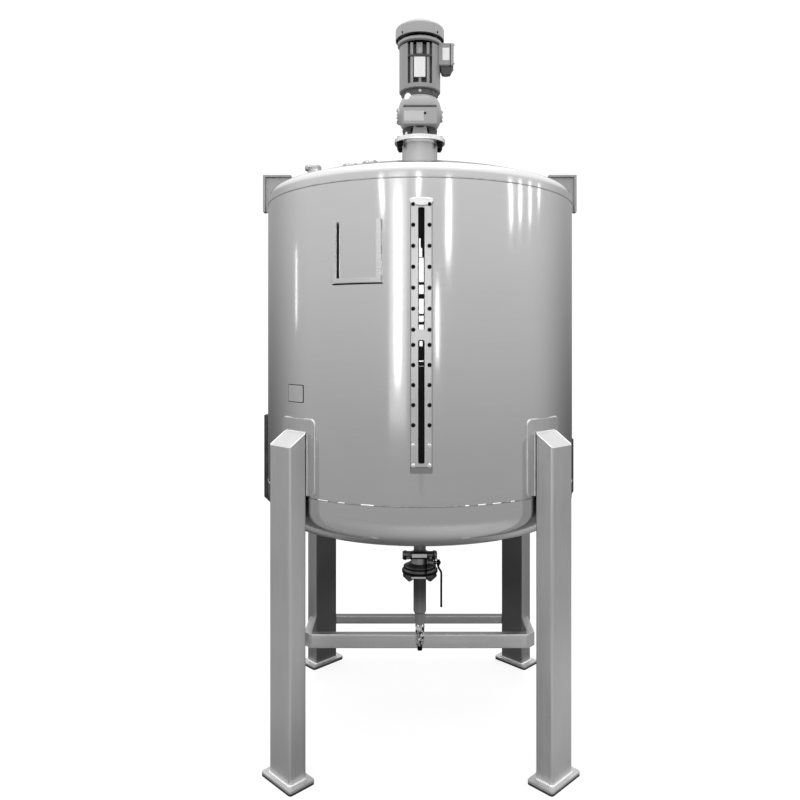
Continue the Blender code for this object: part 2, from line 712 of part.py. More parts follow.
def build_mount():
    """Make the tube and flange that carry the drive on the top head."""
    crest = SHELL_Z1 + GAP + TOP_FLANGE + head_crest(TOP_CROWN, TOP_KNUCKLE)
    inner_r = MOUNT_TUBE_R - MOUNT_TUBE_WALL
    seat_z = crest - TOP_CROWN + math.sqrt(TOP_CROWN ** 2 - inner_r ** 2) + GAP
    turned("mount_tube", POLISHED, [
        (MOUNT_TUBE_R, MOUNT_FLANGE_Z0 - GAP), (MOUNT_TUBE_R, seat_z),
        (inner_r, seat_z), (inner_r, MOUNT_FLANGE_Z0 - GAP),
    ], closed=True, steps=DRIVE_STEPS)
    turned("mount_flange", POLISHED, [
        (MOUNT_FLANGE_R, MOUNT_FLANGE_Z1), (MOUNT_FLANGE_R, MOUNT_FLANGE_Z0),
        (LANTERN_CORE_R, MOUNT_FLANGE_Z0), (LANTERN_CORE_R, MOUNT_FLANGE_Z1),
    ], closed=True, steps=DRIVE_STEPS)


def build_gearbox():
    """Make the open lantern and the gearbox housing on it."""
    low_z = MOUNT_FLANGE_Z1 + GAP
    lantern = turned("lantern", DRIVE_PAINT, [
        (0.0, LANTERN_Z1), (LANTERN_R, LANTERN_Z1), (LANTERN_R, LANTERN_Z1 - LANTERN_PLATE),
        (LANTERN_CORE_R, LANTERN_Z1 - LANTERN_PLATE), (LANTERN_CORE_R, low_z + LANTERN_PLATE),
        (LANTERN_R, low_z + LANTERN_PLATE), (LANTERN_R, low_z), (0.0, low_z),
    ], steps=DRIVE_STEPS)
    for side in (-1, 1):
        reach = sorted((side * 0.5 * LANTERN_CORE_R, side * (LANTERN_R - LANTERN_POST_BACK)))
        post = spanned_block(
            "lantern_post_%d" % side, DRIVE_PAINT,
            (reach[0], -0.5 * LANTERN_POST_WIDE, low_z + 0.5 * LANTERN_PLATE),
            (reach[1], 0.5 * LANTERN_POST_WIDE, LANTERN_Z1 - 0.5 * LANTERN_PLATE),
        )
        combine(lantern, post, 'UNION')
    barrel = turned("gearbox", DRIVE_PAINT, [(0.0, BARREL_PROFILE[0][1])] + list(BARREL_PROFILE) + [
        (0.0, BARREL_PROFILE[-1][1])], steps=DRIVE_STEPS)
    housing = spanned_block(
        "gearbox_block_form", DRIVE_PAINT,
        (-GEARBOX_HALF_X, GEARBOX_FRONT_Y, LANTERN_Z1 + GAP),
        (GEARBOX_HALF_X, GEARBOX_BACK_Y, GEARBOX_BLOCK_Z1),
        round_axis=0, radius=GEARBOX_EDGE,
    )
    combine(barrel, housing, 'UNION')
    for place, side, radius in (("left", -1, COVER_R), ("right", 1, COVER_SMALL_R)):
        cover = round_bar(
            "gearbox_cover_form_" + place, DRIVE_PAINT,
            (side * COVER_X0, 0.0, COVER_Z), (side * COVER_X1, 0.0, COVER_Z),
            radius, COVER_TAPER * radius, SMALL_STEPS)
        combine(barrel, cover, 'UNION')


def build_motor():
    """Make the motor flange, finned body, fan cowl, terminal box and cable gland."""
    turned("motor_flange", DRIVE_PAINT, [
        (0.0, MOTOR_FLANGE_Z1), (MOTOR_FLANGE_R, MOTOR_FLANGE_Z1),
        (MOTOR_FLANGE_R, MOTOR_FLANGE_Z0), (0.0, MOTOR_FLANGE_Z0),
    ], steps=DRIVE_STEPS)
    low_z = MOTOR_FLANGE_Z1 + GAP
    body = turned("motor_body", DRIVE_PAINT, [
        (0.0, MOTOR_Z1), (MOTOR_R, MOTOR_Z1), (MOTOR_R, low_z + MOTOR_FOOT_CHAMFER),
        (MOTOR_R - MOTOR_FOOT_CHAMFER, low_z), (0.0, low_z),
    ], steps=DRIVE_STEPS)
    recess = spanned_block(
        "motor_recess_form", DRIVE_PAINT,
        (-RECESS_HALF_X, -MOTOR_R - OVERCUT, RECESS_Z0), (RECESS_HALF_X, -MOTOR_R + RECESS_DEEP, RECESS_Z1),
    )
    combine(body, recess, 'DIFFERENCE')
    turned("fan_cowl", DRIVE_PAINT, [
        (0.0, COWL_Z1), (COWL_TOP_R, COWL_Z1), (COWL_R, COWL_SHOULDER_Z), (COWL_R, COWL_Z0),
        (COWL_R - COWL_SKIRT, COWL_Z0), (COWL_R - COWL_SKIRT, MOTOR_Z1 + GAP), (0.0, MOTOR_Z1 + GAP),
    ], steps=DRIVE_STEPS)
    box = spanned_block(
        "terminal_box", DRIVE_PAINT,
        (TERMINAL_X0, -TERMINAL_HALF_Y, TERMINAL_Z0), (TERMINAL_X1, TERMINAL_HALF_Y, TERMINAL_Z1),
        round_axis=2, radius=TERMINAL_EDGE,
    )
    seat = round_bar(
        "terminal_seat_form", DRIVE_PAINT,
        (0.0, 0.0, TERMINAL_Z0 - OVERCUT), (0.0, 0.0, TERMINAL_Z1 + OVERCUT),
        MOTOR_R + GAP, MOTOR_R + GAP, DRIVE_STEPS)
    combine(box, seat, 'DIFFERENCE')
    round_bar(
        "cable_gland", DARK_STEEL,
        (GLAND_X, 0.0, GLAND_Z0), (GLAND_X, 0.0, TERMINAL_Z0 - GAP), GLAND_LOW_R, GLAND_TOP_R, SMALL_STEPS)


build_vessel()
top_envelope = dome_envelope()
build_legs()
build_rails()
build_sight_strip()
build_holder()
build_side_fittings(top_envelope)
build_nozzles(top_envelope)
build_outlet()
build_lever()
build_mount()
build_gearbox()
build_motor()
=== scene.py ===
"""Dressed model of a stainless mixing tank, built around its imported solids.

Frame: metres, +Z up, origin on the floor under the tank's axis. The sight strip faces -Y.
"""
import json
import logging
import random
from dataclasses import dataclass, replace
from enum import Enum
from math import asin, ceil, cos, dist, hypot, pi, radians, sin, sqrt
from typing import Any, Callable, Sequence

import bmesh
import bpy
from mathutils import Matrix, Vector

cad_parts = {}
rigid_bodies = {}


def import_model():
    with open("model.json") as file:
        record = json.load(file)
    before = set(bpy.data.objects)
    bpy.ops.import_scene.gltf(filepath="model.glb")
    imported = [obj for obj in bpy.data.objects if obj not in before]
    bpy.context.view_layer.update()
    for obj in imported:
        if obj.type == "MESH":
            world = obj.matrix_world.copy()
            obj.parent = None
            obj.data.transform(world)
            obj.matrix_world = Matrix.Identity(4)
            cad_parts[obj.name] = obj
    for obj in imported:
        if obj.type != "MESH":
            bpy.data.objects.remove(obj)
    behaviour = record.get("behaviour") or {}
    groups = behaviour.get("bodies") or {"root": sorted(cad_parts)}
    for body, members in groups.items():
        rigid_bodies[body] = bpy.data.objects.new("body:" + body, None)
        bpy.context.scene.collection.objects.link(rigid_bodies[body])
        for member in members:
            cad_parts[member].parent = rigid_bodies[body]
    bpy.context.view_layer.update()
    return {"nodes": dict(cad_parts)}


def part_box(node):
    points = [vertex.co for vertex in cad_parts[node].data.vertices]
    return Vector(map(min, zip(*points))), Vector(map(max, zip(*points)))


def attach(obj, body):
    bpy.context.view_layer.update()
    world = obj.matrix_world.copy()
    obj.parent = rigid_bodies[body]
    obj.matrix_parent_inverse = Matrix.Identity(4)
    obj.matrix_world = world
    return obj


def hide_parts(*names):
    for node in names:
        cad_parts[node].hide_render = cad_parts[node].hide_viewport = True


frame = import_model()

LOG = logging.getLogger("mixing_tank")

Mesh = bpy.types.Mesh
Node = bpy.types.Node
Object = bpy.types.Object
Socket = bpy.types.NodeSocket
Tree = bpy.types.NodeTree
Pair = tuple[float, float]
Triple = tuple[float, float, float]
Window = tuple[float, float, float, float]
Profile = Sequence[Pair]
Level = float | Callable[[float, float], float]
Aimed = tuple[Triple, Triple]
Run = tuple[Sequence[Triple], bool]

ROUND = 256
MEDIUM = 96
SMALL = 48
MERGE = 1e-5
TINY = 1e-9
GAP = 0.0003
WELD_STEP = 0.01
FLAT_DEGREES = 0.6
BEAD_SIDES = 8
BAR_STEPS = 4
HEAD_STEPS = (16, 28)
HERE = Matrix.Identity(4)
ON_EDGE = Matrix(((0, 0, 1, 0), (1, 0, 0, 0), (0, 1, 0, 0), (0, 0, 0, 1)))
UP = (0.0, 0.0, 1.0)
DOWN = (0.0, 0.0, -1.0)
FRONT = (0.0, -1.0, 0.0)
FRONTAL = Matrix.Rotation(pi / 2, 4, "X")


class Body(Enum):
    """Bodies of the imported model."""

    TANK = "tank"
    LEVER = "lever"


class Slot(Enum):
    """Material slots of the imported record."""

    POLISHED = "polished_steel"
    SATIN = "satin_steel"
    DARK = "dark_steel"
    PAINT = "drive_paint"
    CHROME = "bright_chrome"
    RUBBER = "black_rubber"
    GLASS = "sight_glass"


# ---- node helpers


def put(tree: Tree, kind: str, inputs: dict[Any, Any] | None = None, **settings: Any) -> Node:
    """Add a node to a tree.

    Args:
        tree: the tree to add to.
        kind: the node's type name, left without ShaderNode where it starts so.
        inputs: values or output sockets, by the input's name or index.
        settings: properties set before the inputs.

    Returns:
        The new node.
    """
    node = tree.nodes.new(kind if "Node" in kind else "ShaderNode" + kind)
    for key, value in settings.items():
        setattr(node, key, value)
    for key, value in (inputs or {}).items():
        if isinstance(value, Socket):
            tree.links.new(value, node.inputs[key])
        else:
            node.inputs[key].default_value = value
    return node


def tap(tree: Tree, kind: str, inputs: dict[Any, Any] | None = None, **settings: Any) -> Socket:
    """Add a node as put does, and give its first output."""
    return put(tree, kind, inputs, **settings).outputs[0]


def calc(tree: Tree, operation: str, *values: Any) -> Socket:
    """Add a maths node on values or sockets, and give its result."""
    return tap(tree, "Math", dict(enumerate(values)), operation=operation)


def mix(tree: Tree, share: Socket, first: Any, second: Any) -> Socket:
    """Add a mix of two colours, and give its result."""
    return put(tree, "Mix", {0: share, 6: first, 7: second}, data_type="RGBA").outputs[2]


def noise(tree: Tree, place: Socket, scale: Any, detail: float, roughness: float = 0.5) -> Socket:
    """Add a noise texture, and give its level."""
    return tap(tree, "TexNoise", {
        "Vector": place, "Scale": scale, "Detail": detail, "Roughness": roughness})


def bump(tree: Tree, height: Socket, depth: float, below: dict[str, Socket] | None = None) -> Socket:
    """Add relief, over the Normal given as below if there is one, and give the new normal."""
    return tap(tree, "Bump", {
        "Height": height, "Distance": depth, "Strength": 1.0, **(below or {})})


def place_on(tree: Tree) -> Socket:
    """Give the place on a piece, in metres."""
    return put(tree, "TexCoord").outputs["Object"]


def split(tree: Tree, vector: Socket) -> Any:
    """Give the X, Y and Z outputs of a vector."""
    return put(tree, "SeparateXYZ", {0: vector}).outputs


def ramp(tree: Tree, value: Socket, ends: tuple[Any, Any], levels: Pair = (0.0, 1.0),
         style: str = "SMOOTHSTEP") -> Socket:
    """Grade from one level to another.

    Args:
        tree: the tree to add to.
        value: what the grade runs along.
        ends: where it starts and ends, as numbers or sockets.
        levels: the levels there.
        style: how it runs in between.

    Returns:
        The socket with the level.
    """
    return tap(tree, "MapRange", {
        "Value": value, "From Min": ends[0], "From Max": ends[1], "To Min": levels[0], "To Max": levels[1]},
        interpolation_type=style)


def grey(shade: float) -> Window:
    """Give an opaque neutral colour of one shade."""
    return (shade, shade, shade, 1.0)


def node_group(name: str, kind: str, inputs: dict[str, str], outputs: dict[str, str]) -> tuple[Tree, Any]:
    """Start a node group with named sockets.

    Args:
        name: its name.
        kind: its tree type.
        inputs: kind of socket by input name.
        outputs: kind of socket by output name.

    Returns:
        The tree, and the sockets that its inputs come in by.
    """
    tree = bpy.data.node_groups.new(name, kind)
    for direction, sockets in (("INPUT", inputs), ("OUTPUT", outputs)):
        for label, value in sockets.items():
            tree.interface.new_socket(label, in_out=direction, socket_type="NodeSocket" + value)
    return tree, put(tree, "NodeGroupInput").outputs


def surface_group() -> Tree:
    """Build the shader group that gives the grain, clouding and specks that all the finishes share.

    Returns:
        The group.
    """
    tree, given = node_group("surface_marks", "ShaderNodeTree", {
        "Grain Scale": "Vector", "Cloud Scale": "Float", "Speck Scale": "Float", "Speck Share": "Float"},
        {"Grain": "Float", "Cloud": "Float", "Specks": "Float"})
    place = place_on(tree)
    stretched = tap(tree, "VectorMath", {0: place, 1: given["Grain Scale"]}, operation="MULTIPLY")
    speck = noise(tree, place, given["Speck Scale"], 2.0)
    least = calc(tree, "SUBTRACT", 1.0, given["Speck Share"])
    put(tree, "NodeGroupOutput", {
        "Grain": noise(tree, stretched, 1.0, 3.0),
        "Cloud": noise(tree, place, given["Cloud Scale"], 4.0, 0.55),
        "Specks": ramp(tree, speck, (least, 1.0), style="LINEAR")})
    return tree


def seam_group() -> Tree:
    """Build the shader group that gives a soft mask around a level height, for the tint along a seam.

    Returns:
        The group.
    """
    tree, given = node_group(
        "seam_band", "ShaderNodeTree", {"Height": "Float", "Reach": "Float"}, {"Mask": "Float"})
    offset = calc(tree, "SUBTRACT", split(tree, place_on(tree))["Z"], given["Height"])
    away = calc(tree, "ABSOLUTE", offset)
    put(tree, "NodeGroupOutput", {"Mask": ramp(tree, away, (given["Reach"], 0.0))})
    return tree


SURFACE = surface_group()
SEAM = seam_group()


@dataclass(frozen=True)
class Finish:
    """A metal, paint, rubber or glass finish with grain, clouding and fine relief."""

    label: str
    slot: Slot
    shade: float
    spread: float = 0.05
    metallic: float = 1.0
    roughness: float = 0.35
    rough_spread: float = 0.08
    grain: Triple = (260.0, 260.0, 6.0)
    cloud: float = 3.0
    relief: float = 0.00006
    anisotropic: float = 0.0
    coat: float = 0.0
    ior: float = 1.5
    speck_scale: float = 120.0
    speck_share: float = 0.3
    speck_shade: float = 0.55
    contrast: float = 0.4

    def material(self) -> bpy.types.Material:
        """Give the finish's material, built on first use.

        Returns:
            The material.
        """
        made = bpy.data.materials.get(self.label)
        if made is not None:
            return made
        made = bpy.data.materials.new(self.label)
        made.use_nodes = True
        tree = made.node_tree
        shader = tree.nodes["Principled BSDF"].inputs
        marks = put(tree, "Group", {
            "Grain Scale": self.grain, "Cloud Scale": self.cloud, "Speck Scale": self.speck_scale,
            "Speck Share": self.speck_share}, node_tree=SURFACE).outputs
        gloss = (self.roughness - self.rough_spread, self.roughness + self.rough_spread)
        tree.links.new(self.tinted_and_shaded(tree, self.tone(tree, marks)), shader["Base Color"])
        tree.links.new(ramp(tree, marks["Grain"], (0.3, 0.7), gloss, "LINEAR"), shader["Roughness"])
        tree.links.new(self.normal(tree, marks), shader["Normal"])
        for socket, value in (("Metallic", self.metallic), ("Anisotropic", self.anisotropic),
                              ("Anisotropic Rotation", 0.25), ("Coat Weight", self.coat), ("IOR", self.ior)):
            shader[socket].default_value = value
        return made

    def tone(self, tree: Tree, marks: Any) -> Socket:
        """Mix the base colour from clouding and specks.

        Args:
            tree: the material's tree.
            marks: the surface group's outputs.

        Returns:
            The colour socket.
        """
        blend = calc(tree, "ADD", marks["Cloud"], marks["Grain"])
        share = ramp(tree, blend, (1.0 - self.contrast, 1.0 + self.contrast), style="LINEAR")
        clouded = mix(tree, share, grey(max(0.0, self.shade - self.spread)), grey(self.shade + self.spread))
        return mix(tree, marks["Specks"], clouded, grey(self.speck_shade))

    def tinted_and_shaded(self, tree: Tree, plain: Socket) -> Socket:
        """Give the colour with seam tints and painted shade in places, which most finishes don't have."""
        return plain

    def normal(self, tree: Tree, marks: Any) -> Socket:
        """Make the fine relief."""
        return bump(tree, marks["Grain"], self.relief)


@dataclass(frozen=True)
class VesselFinish(Finish):
    """Polished sheet with slow waves and a tint along its welded seams."""

    seams: Pair = (1.12, 2.35)
    seam_reach: float = 0.005
    seam_shade: float = 0.35
    wave_scale: float = 2.2
    wave_depth: float = 0.0012
    pucker_reach: float = 0.11
    pucker_scale: float = 7.0
    pucker_depth: float = 0.0007

    def seam_mask(self, tree: Tree, reach: float) -> Socket:
        """Add up the bands round both seams, each with this reach upwards and downwards."""
        bands = [tap(tree, "Group", {"Height": at, "Reach": reach}, node_tree=SEAM) for at in self.seams]
        return calc(tree, "ADD", *bands)

    def tinted_and_shaded(self, tree: Tree, plain: Socket) -> Socket:
        """Mix in the tint along the seams."""
        return mix(tree, self.seam_mask(tree, self.seam_reach), plain, grey(self.seam_shade))

    def normal(self, tree: Tree, marks: Any) -> Socket:
        """Make the relief: fine polish marks, slow waves and puckers near the seams.

        Args:
            tree: the material's tree.
            marks: the surface group's outputs.

        Returns:
            The normal socket.
        """
        place = place_on(tree)
        slow = bump(tree, noise(tree, place, self.wave_scale, 1.0), self.wave_depth)
        pucker = noise(tree, place, self.pucker_scale, 1.0)
        near = calc(tree, "MULTIPLY", pucker, self.seam_mask(tree, self.pucker_reach))
        local = bump(tree, near, self.pucker_depth, {"Normal": slow})
        return bump(tree, marks["Grain"], self.relief, {"Normal": local})


@dataclass(frozen=True)
class ShadeGradeFinish(Finish):
    """Steel with painted shade from a level up: darker towards the top, or on its level top."""

    levels: Pair = (0.43, 0.6)
    shaded_tone: float = 0.055

    def tinted_and_shaded(self, tree: Tree, plain: Socket) -> Socket:
        """Mix in the painted shade from the lower level up."""
        share = ramp(tree, split(tree, place_on(tree))["Z"], self.levels)
        return mix(tree, share, plain, grey(self.shaded_tone))


@dataclass(frozen=True)
class PaintedShadeLegFinish(Finish):
    """Tube with painted shade on its face towards the tank's axis, in place of the frame's own shade."""

    reach: Pair = (1.0005, 1.009)
    heights: Pair = (0.05, 0.52)
    painted_shades: Pair = (0.27, 0.11)

    def tinted_and_shaded(self, tree: Tree, plain: Socket) -> Socket:
        """Mix painted shade into the face that looks inwards, darker nearer the tank.

        Args:
            tree: the material's tree.
            plain: the base colour.

        Returns:
            The colour socket.
        """
        axes = split(tree, place_on(tree))
        out = calc(tree, "ADD", calc(tree, "ABSOLUTE", axes["X"]), axes["Y"])
        inwards = ramp(tree, out, self.reach, (1.0, 0.0))
        return mix(tree, inwards, plain, ramp(tree, axes["Z"], self.heights, self.painted_shades))


def even(cycles: float) -> Triple:
    """Give a grain with the same scale along every axis."""
    return (cycles, cycles, cycles)


POLISHED = VesselFinish("vessel_polish", Slot.POLISHED, 0.67, 0.025, roughness=0.12, rough_spread=0.02,
                        grain=(6.0, 6.0, 900.0), cloud=2.0, relief=0.000003, anisotropic=0.35,
                        speck_share=0.22)
BRIGHT = Finish("bright_sheet", Slot.POLISHED, 0.68, 0.03, roughness=0.3, rough_spread=0.04,
                grain=(12.0, 12.0, 700.0), relief=0.000002, speck_share=0.22)
TUBE_LOOK: dict[str, Any] = {"spread": 0.07, "roughness": 0.4, "rough_spread": 0.07, "cloud": 2.5,
                             "relief": 0.00003, "grain": (340.0, 340.0, 3.0)}
SATIN = Finish("satin_tube", Slot.SATIN, 0.63, **TUBE_LOOK)
PLATE = Finish("milled_plate", Slot.SATIN, 0.64, 0.05, roughness=0.42, rough_spread=0.06,
               grain=even(160.0), cloud=9.0, relief=0.00002)
BEAD = Finish("weld_metal", Slot.SATIN, 0.7, 0.12, roughness=0.34, rough_spread=0.1,
              grain=even(500.0), cloud=40.0, relief=0.00015)
DARK = Finish("dark_steel_skin", Slot.DARK, 0.17, 0.05, metallic=0.8, roughness=0.4,
              grain=even(180.0), cloud=12.0, relief=0.00008)
# Black metal for screws and the lever, also used for black strips and bands of painted shade.
BLACKED = Finish("blacked_metal_and_shade", Slot.DARK, 0.01, 0.004, roughness=0.42,
                 grain=even(500.0), cloud=60.0, speck_shade=0.05)
PAINT = Finish("machine_paint", Slot.PAINT, 0.28, 0.02, metallic=0.0, roughness=0.42, rough_spread=0.05,
               grain=even(420.0), cloud=14.0, relief=0.0001, coat=0.15, speck_share=0.28, speck_shade=0.42)
DARK_PAINT = Finish("shaded_paint", Slot.PAINT, 0.085, 0.02, metallic=0.0, roughness=0.5, rough_spread=0.06,
                    grain=even(420.0), cloud=20.0, relief=0.00012, speck_share=0.25, speck_shade=0.2)
BLANK = Finish("bare_label", Slot.PAINT, 0.78, 0.03, metallic=0.2, roughness=0.35, rough_spread=0.05,
               grain=(300.0, 300.0, 20.0), cloud=20.0, relief=0.00002)
CHROME = Finish("crinkled_chrome", Slot.CHROME, 0.72, 0.7, roughness=0.12, rough_spread=0.04,
                grain=(130.0, 130.0, 50.0), cloud=70.0, relief=0.003, speck_share=0.1, contrast=0.07)
RUBBER = Finish("foot_rubber", Slot.RUBBER, 0.018, 0.008, metallic=0.0, roughness=0.72,
                grain=even(300.0), cloud=30.0, relief=0.0002, speck_shade=0.06)
GLASS = Finish("sight_pane", Slot.GLASS, 0.01, 0.003, metallic=0.0, roughness=0.01, rough_spread=0.002,
               grain=even(8.0), cloud=5.0, relief=0.0000005, ior=1.38, speck_share=0.1, speck_shade=0.02)
SHADED = replace(SATIN, label="shaded_frame", shade=0.2, roughness=0.5)
COVER = replace(SATIN, label="strip_cover", shade=0.54, roughness=0.38)
# Painted shade: the back legs' whole tube is painted darker than the front legs' (0.4 against 0.63), and
# darker still on the inward face.
SHADED_TUBE_BACK = PaintedShadeLegFinish("satin_tube_back", Slot.SATIN, 0.4, **TUBE_LOOK)
# Painted shade: the rails' level tops are painted darker, and the back rail is painted darker overall than
# the cross rail in front (0.58 against 0.86).
RAIL_X = ShadeGradeFinish("satin_rail_x", Slot.SATIN, 0.58, levels=(0.2325, 0.2336), shaded_tone=0.2,
                      **{**TUBE_LOOK, "grain": (3.0, 340.0, 340.0)})
RAIL_FRONT = replace(RAIL_X, label="satin_rail_front", shade=0.86, levels=(0.26, 0.2614), shaded_tone=0.28)
RAIL_Y = replace(SATIN, label="satin_rail_y", grain=(340.0, 3.0, 340.0), shade=0.62)
PAD = replace(SATIN, label="rolled_pad", shade=0.6, roughness=0.34)
EAR = replace(PLATE, label="ear_plate", shade=0.36)
SIDE_BAR = replace(DARK, label="dark_side_bar", shade=0.02, metallic=0.3)
NOZZLE = replace(BRIGHT, label="nozzle_steel", slot=Slot.DARK, shade=0.62)
VALVE = replace(DARK, label="valve_casting", shade=0.13)
WING = replace(DARK, label="valve_wing", shade=0.06)
# Painted shade: the drain pipe is painted darker towards the valve above it.
DRAIN = ShadeGradeFinish("drain_steel", Slot.DARK, 0.3, 0.05, metallic=0.8, roughness=0.4,
                     grain=(300.0, 300.0, 4.0), cloud=12.0, relief=0.00008)
RING = replace(PLATE, label="turned_flange", shade=0.92, roughness=0.24, relief=0.000004)
SEAM_METAL = replace(BEAD, label="seam_metal", shade=0.3, spread=0.2)
TUBE = replace(BRIGHT, label="mount_sheet", shade=0.52, roughness=0.48)
DULL_BLANK = replace(BLANK, label="dulled_label", shade=0.52)
THROAT = replace(DARK, label="throat_casting", shade=0.3)
# Near-black paint for the lantern, also used for the sheet of painted shade in the motor's recess.
CAST_AND_SHADE = replace(DARK_PAINT, label="lantern_paint_and_shade", shade=0.04)
CAP_METAL = replace(BEAD, label="bright_weld", shade=0.9, spread=0.08)
COWL = replace(PAINT, label="cowl_paint", shade=0.35)
GLAND = replace(DARK_PAINT, label="gland_grey", shade=0.1)


# ---- solid helpers


class Solid:
    """A piece in the making: closed forms gathered in one mesh."""

    def __init__(self, name: str) -> None:
        """Start an empty piece with its name in the scene."""
        self.name = name
        self.form = bmesh.new()

    @classmethod
    def from_node(cls, name: str, node: str) -> "Solid":
        """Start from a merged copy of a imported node.

        Args:
            name: the new piece's name.
            node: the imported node's name.

        Returns:
            The piece, with flat faces joined up.
        """
        made = cls(name)
        made.form.from_mesh(frame["nodes"][node].data)
        bmesh.ops.remove_doubles(made.form, verts=made.form.verts, dist=MERGE)
        bmesh.ops.dissolve_limit(
            made.form, angle_limit=radians(FLAT_DEGREES), verts=made.form.verts, edges=made.form.edges)
        return made

    def absorb(self, part: bmesh.types.BMesh, place: Matrix = HERE) -> "Solid":
        """Add a closed form.

        Args:
            part: the form, which is used up.
            place: where it goes.

        Returns:
            This piece.
        """
        bmesh.ops.remove_doubles(part, verts=part.verts, dist=MERGE)
        bmesh.ops.recalc_face_normals(part, faces=part.faces)
        part.transform(place)
        scratch = bpy.data.meshes.new("scratch")
        part.to_mesh(scratch)
        part.free()
        self.form.from_mesh(scratch)
        bpy.data.meshes.remove(scratch)
        return self

    def turn(self, profile: Profile, steps: int = MEDIUM, closed: bool = False,
             at: Triple = (0.0, 0.0, 0.0), aim: Triple = UP) -> "Solid":
        """Add a turned form.

        Args:
            profile: (radius, height) points.
            steps: sides of the turned form.
            closed: whether the profile's last point joins its first; both join the axis otherwise.
            at: place of the profile's zero height.
            aim: direction of the turning axis.

        Returns:
            This piece.
        """
        part = bmesh.new()
        rings = []
        if not closed:
            profile = [(0.0, profile[0][1]), *profile, (0.0, profile[-1][1])]
        for radius, height in profile:
            count = 1 if radius < TINY else steps
            rings.append([part.verts.new(point) for point in circle(radius, height, steps)[:count]])
        for low, high in zip(rings, rings[1:] + (rings[:1] if closed else [])):
            for k in range(steps):
                sides = ((low, k), (low, k + 1), (high, k + 1), (high, k))
                distinct = list(dict.fromkeys(ring[m % len(ring)] for ring, m in sides))
                if len(distinct) > 2:
                    part.faces.new(distinct)
        turned = Vector(aim).to_track_quat("Z", "Y").to_matrix().to_4x4()
        return self.absorb(part, Matrix.Translation(at) @ turned)

    def rod(self, start: Triple, end: Triple, radius: float, end_radius: float | None = None,
            steps: int = SMALL, chamfer: float = 0.0) -> "Solid":
        """Add a round bar or cone between two points.

        Args:
            start: centre of the first end.
            end: centre of the other end.
            radius: radius at the start.
            end_radius: radius at the end, the same if left out.
            steps: sides of the bar.
            chamfer: chamfer on both ends.

        Returns:
            This piece.
        """
        run = Vector(end) - Vector(start)
        far = radius if end_radius is None else end_radius
        profile = [(radius - chamfer, 0.0)]
        if chamfer > 0.0:
            profile += [(radius, chamfer), (far, run.length - chamfer)]
        profile += [(far - chamfer, run.length)]
        return self.turn(profile, steps, at=tuple(start), aim=tuple(run))

    def block(self, size: Triple, centre: Triple, bevel: float = 0.0, segments: int = 3) -> "Solid":
        """Add a box.

        Args:
            size: length along each axis.
            centre: middle of the box.
            bevel: radius of all edges.
            segments: steps of a rounded edge.

        Returns:
            This piece.
        """
        part = bmesh.new()
        bmesh.ops.create_cube(part, size=1.0)
        bmesh.ops.scale(part, vec=Vector(size), verts=part.verts)
        if bevel > 0.0:
            bevelled(part, part.edges[:], bevel, segments)
        return self.absorb(part, Matrix.Translation(centre))

    def span(self, low: Triple, high: Triple, bevel: float = 0.0, segments: int = 3) -> "Solid":
        """Add a box between two corners.

        Args:
            low: lowest corner.
            high: highest corner.
            bevel: radius of all edges.
            segments: steps of a rounded edge.

        Returns:
            This piece.
        """
        size = tuple(b - a for a, b in zip(low, high))
        centre = tuple(0.5 * (a + b) for a, b in zip(low, high))
        return self.block(size, centre, bevel, segments)

    def prism(self, outline: Profile, low: Level, high: Level, place: Matrix = HERE) -> "Solid":
        """Add a prism.

        Args:
            outline: points of its section, in its own X and Y.
            low: lower level, or a rule that gives it for each point.
            high: upper level, or a rule that gives it for each point.
            place: where it goes.

        Returns:
            This piece.
        """
        part = bmesh.new()
        floor, roof = (
            [part.verts.new((u, v, level(u, v) if callable(level) else level)) for u, v in outline]
            for level in (low, high))
        close(part, floor, roof)
        return self.absorb(part, place)

    def wrapped(self, outline: Profile, radii: Pair, azimuth: float, level: float,
                slices: int = 16, bevel: float = 0.0) -> "Solid":
        """Add a plate bent round the tank's axis.

        Args:
            outline: points of its face, along the shell and up.
            radii: radius of its back and of its face.
            azimuth: direction of its middle, in radians.
            level: height of its middle.
            slices: flats along the bend.
            bevel: rounding of its front edge.

        Returns:
            This piece.
        """
        part = bmesh.new()
        back = [part.verts.new((u, 0.0, v)) for u, v in outline]
        face = [part.verts.new((u, radii[1] - radii[0], v)) for u, v in outline]
        close(part, back, face)
        if bevel > 0.0:
            rim = [edge for edge in part.edges if all(vert in face for vert in edge.verts)]
            bmesh.ops.recalc_face_normals(part, faces=part.faces)
            bevelled(part, rim, bevel, 2)
        least, most = (pick(u for u, _ in outline) for pick in (min, max))
        for k in range(1, slices):
            bmesh.ops.bisect_plane(
                part, geom=part.verts[:] + part.edges[:] + part.faces[:], dist=1e-6,
                plane_co=(least + (most - least) * k / slices, 0.0, 0.0), plane_no=(1.0, 0.0, 0.0))
        for vert in part.verts:
            along, out, up = vert.co
            vert.co = polar(azimuth + along / radii[1], radii[0] + out, level + up)
        return self.absorb(part)

    def sweep(self, route: Sequence[Triple], radius: float) -> "Solid":
        """Add a round bar that follows a smooth route.

        Args:
            route: points that the bar passes.
            radius: radius of the bar.

        Returns:
            This piece.
        """
        curve = bpy.data.curves.new("route", "CURVE")
        curve.dimensions = "3D"
        curve.bevel_depth = radius
        curve.bevel_resolution = BAR_STEPS
        curve.use_fill_caps = True
        line = curve.splines.new("POLY")
        line.points.add(len(route) - 1)
        for point, target in zip(line.points, route):
            point.co = (*target, 1.0)
        return self.absorb(opened(baked(stand("route", curve))))

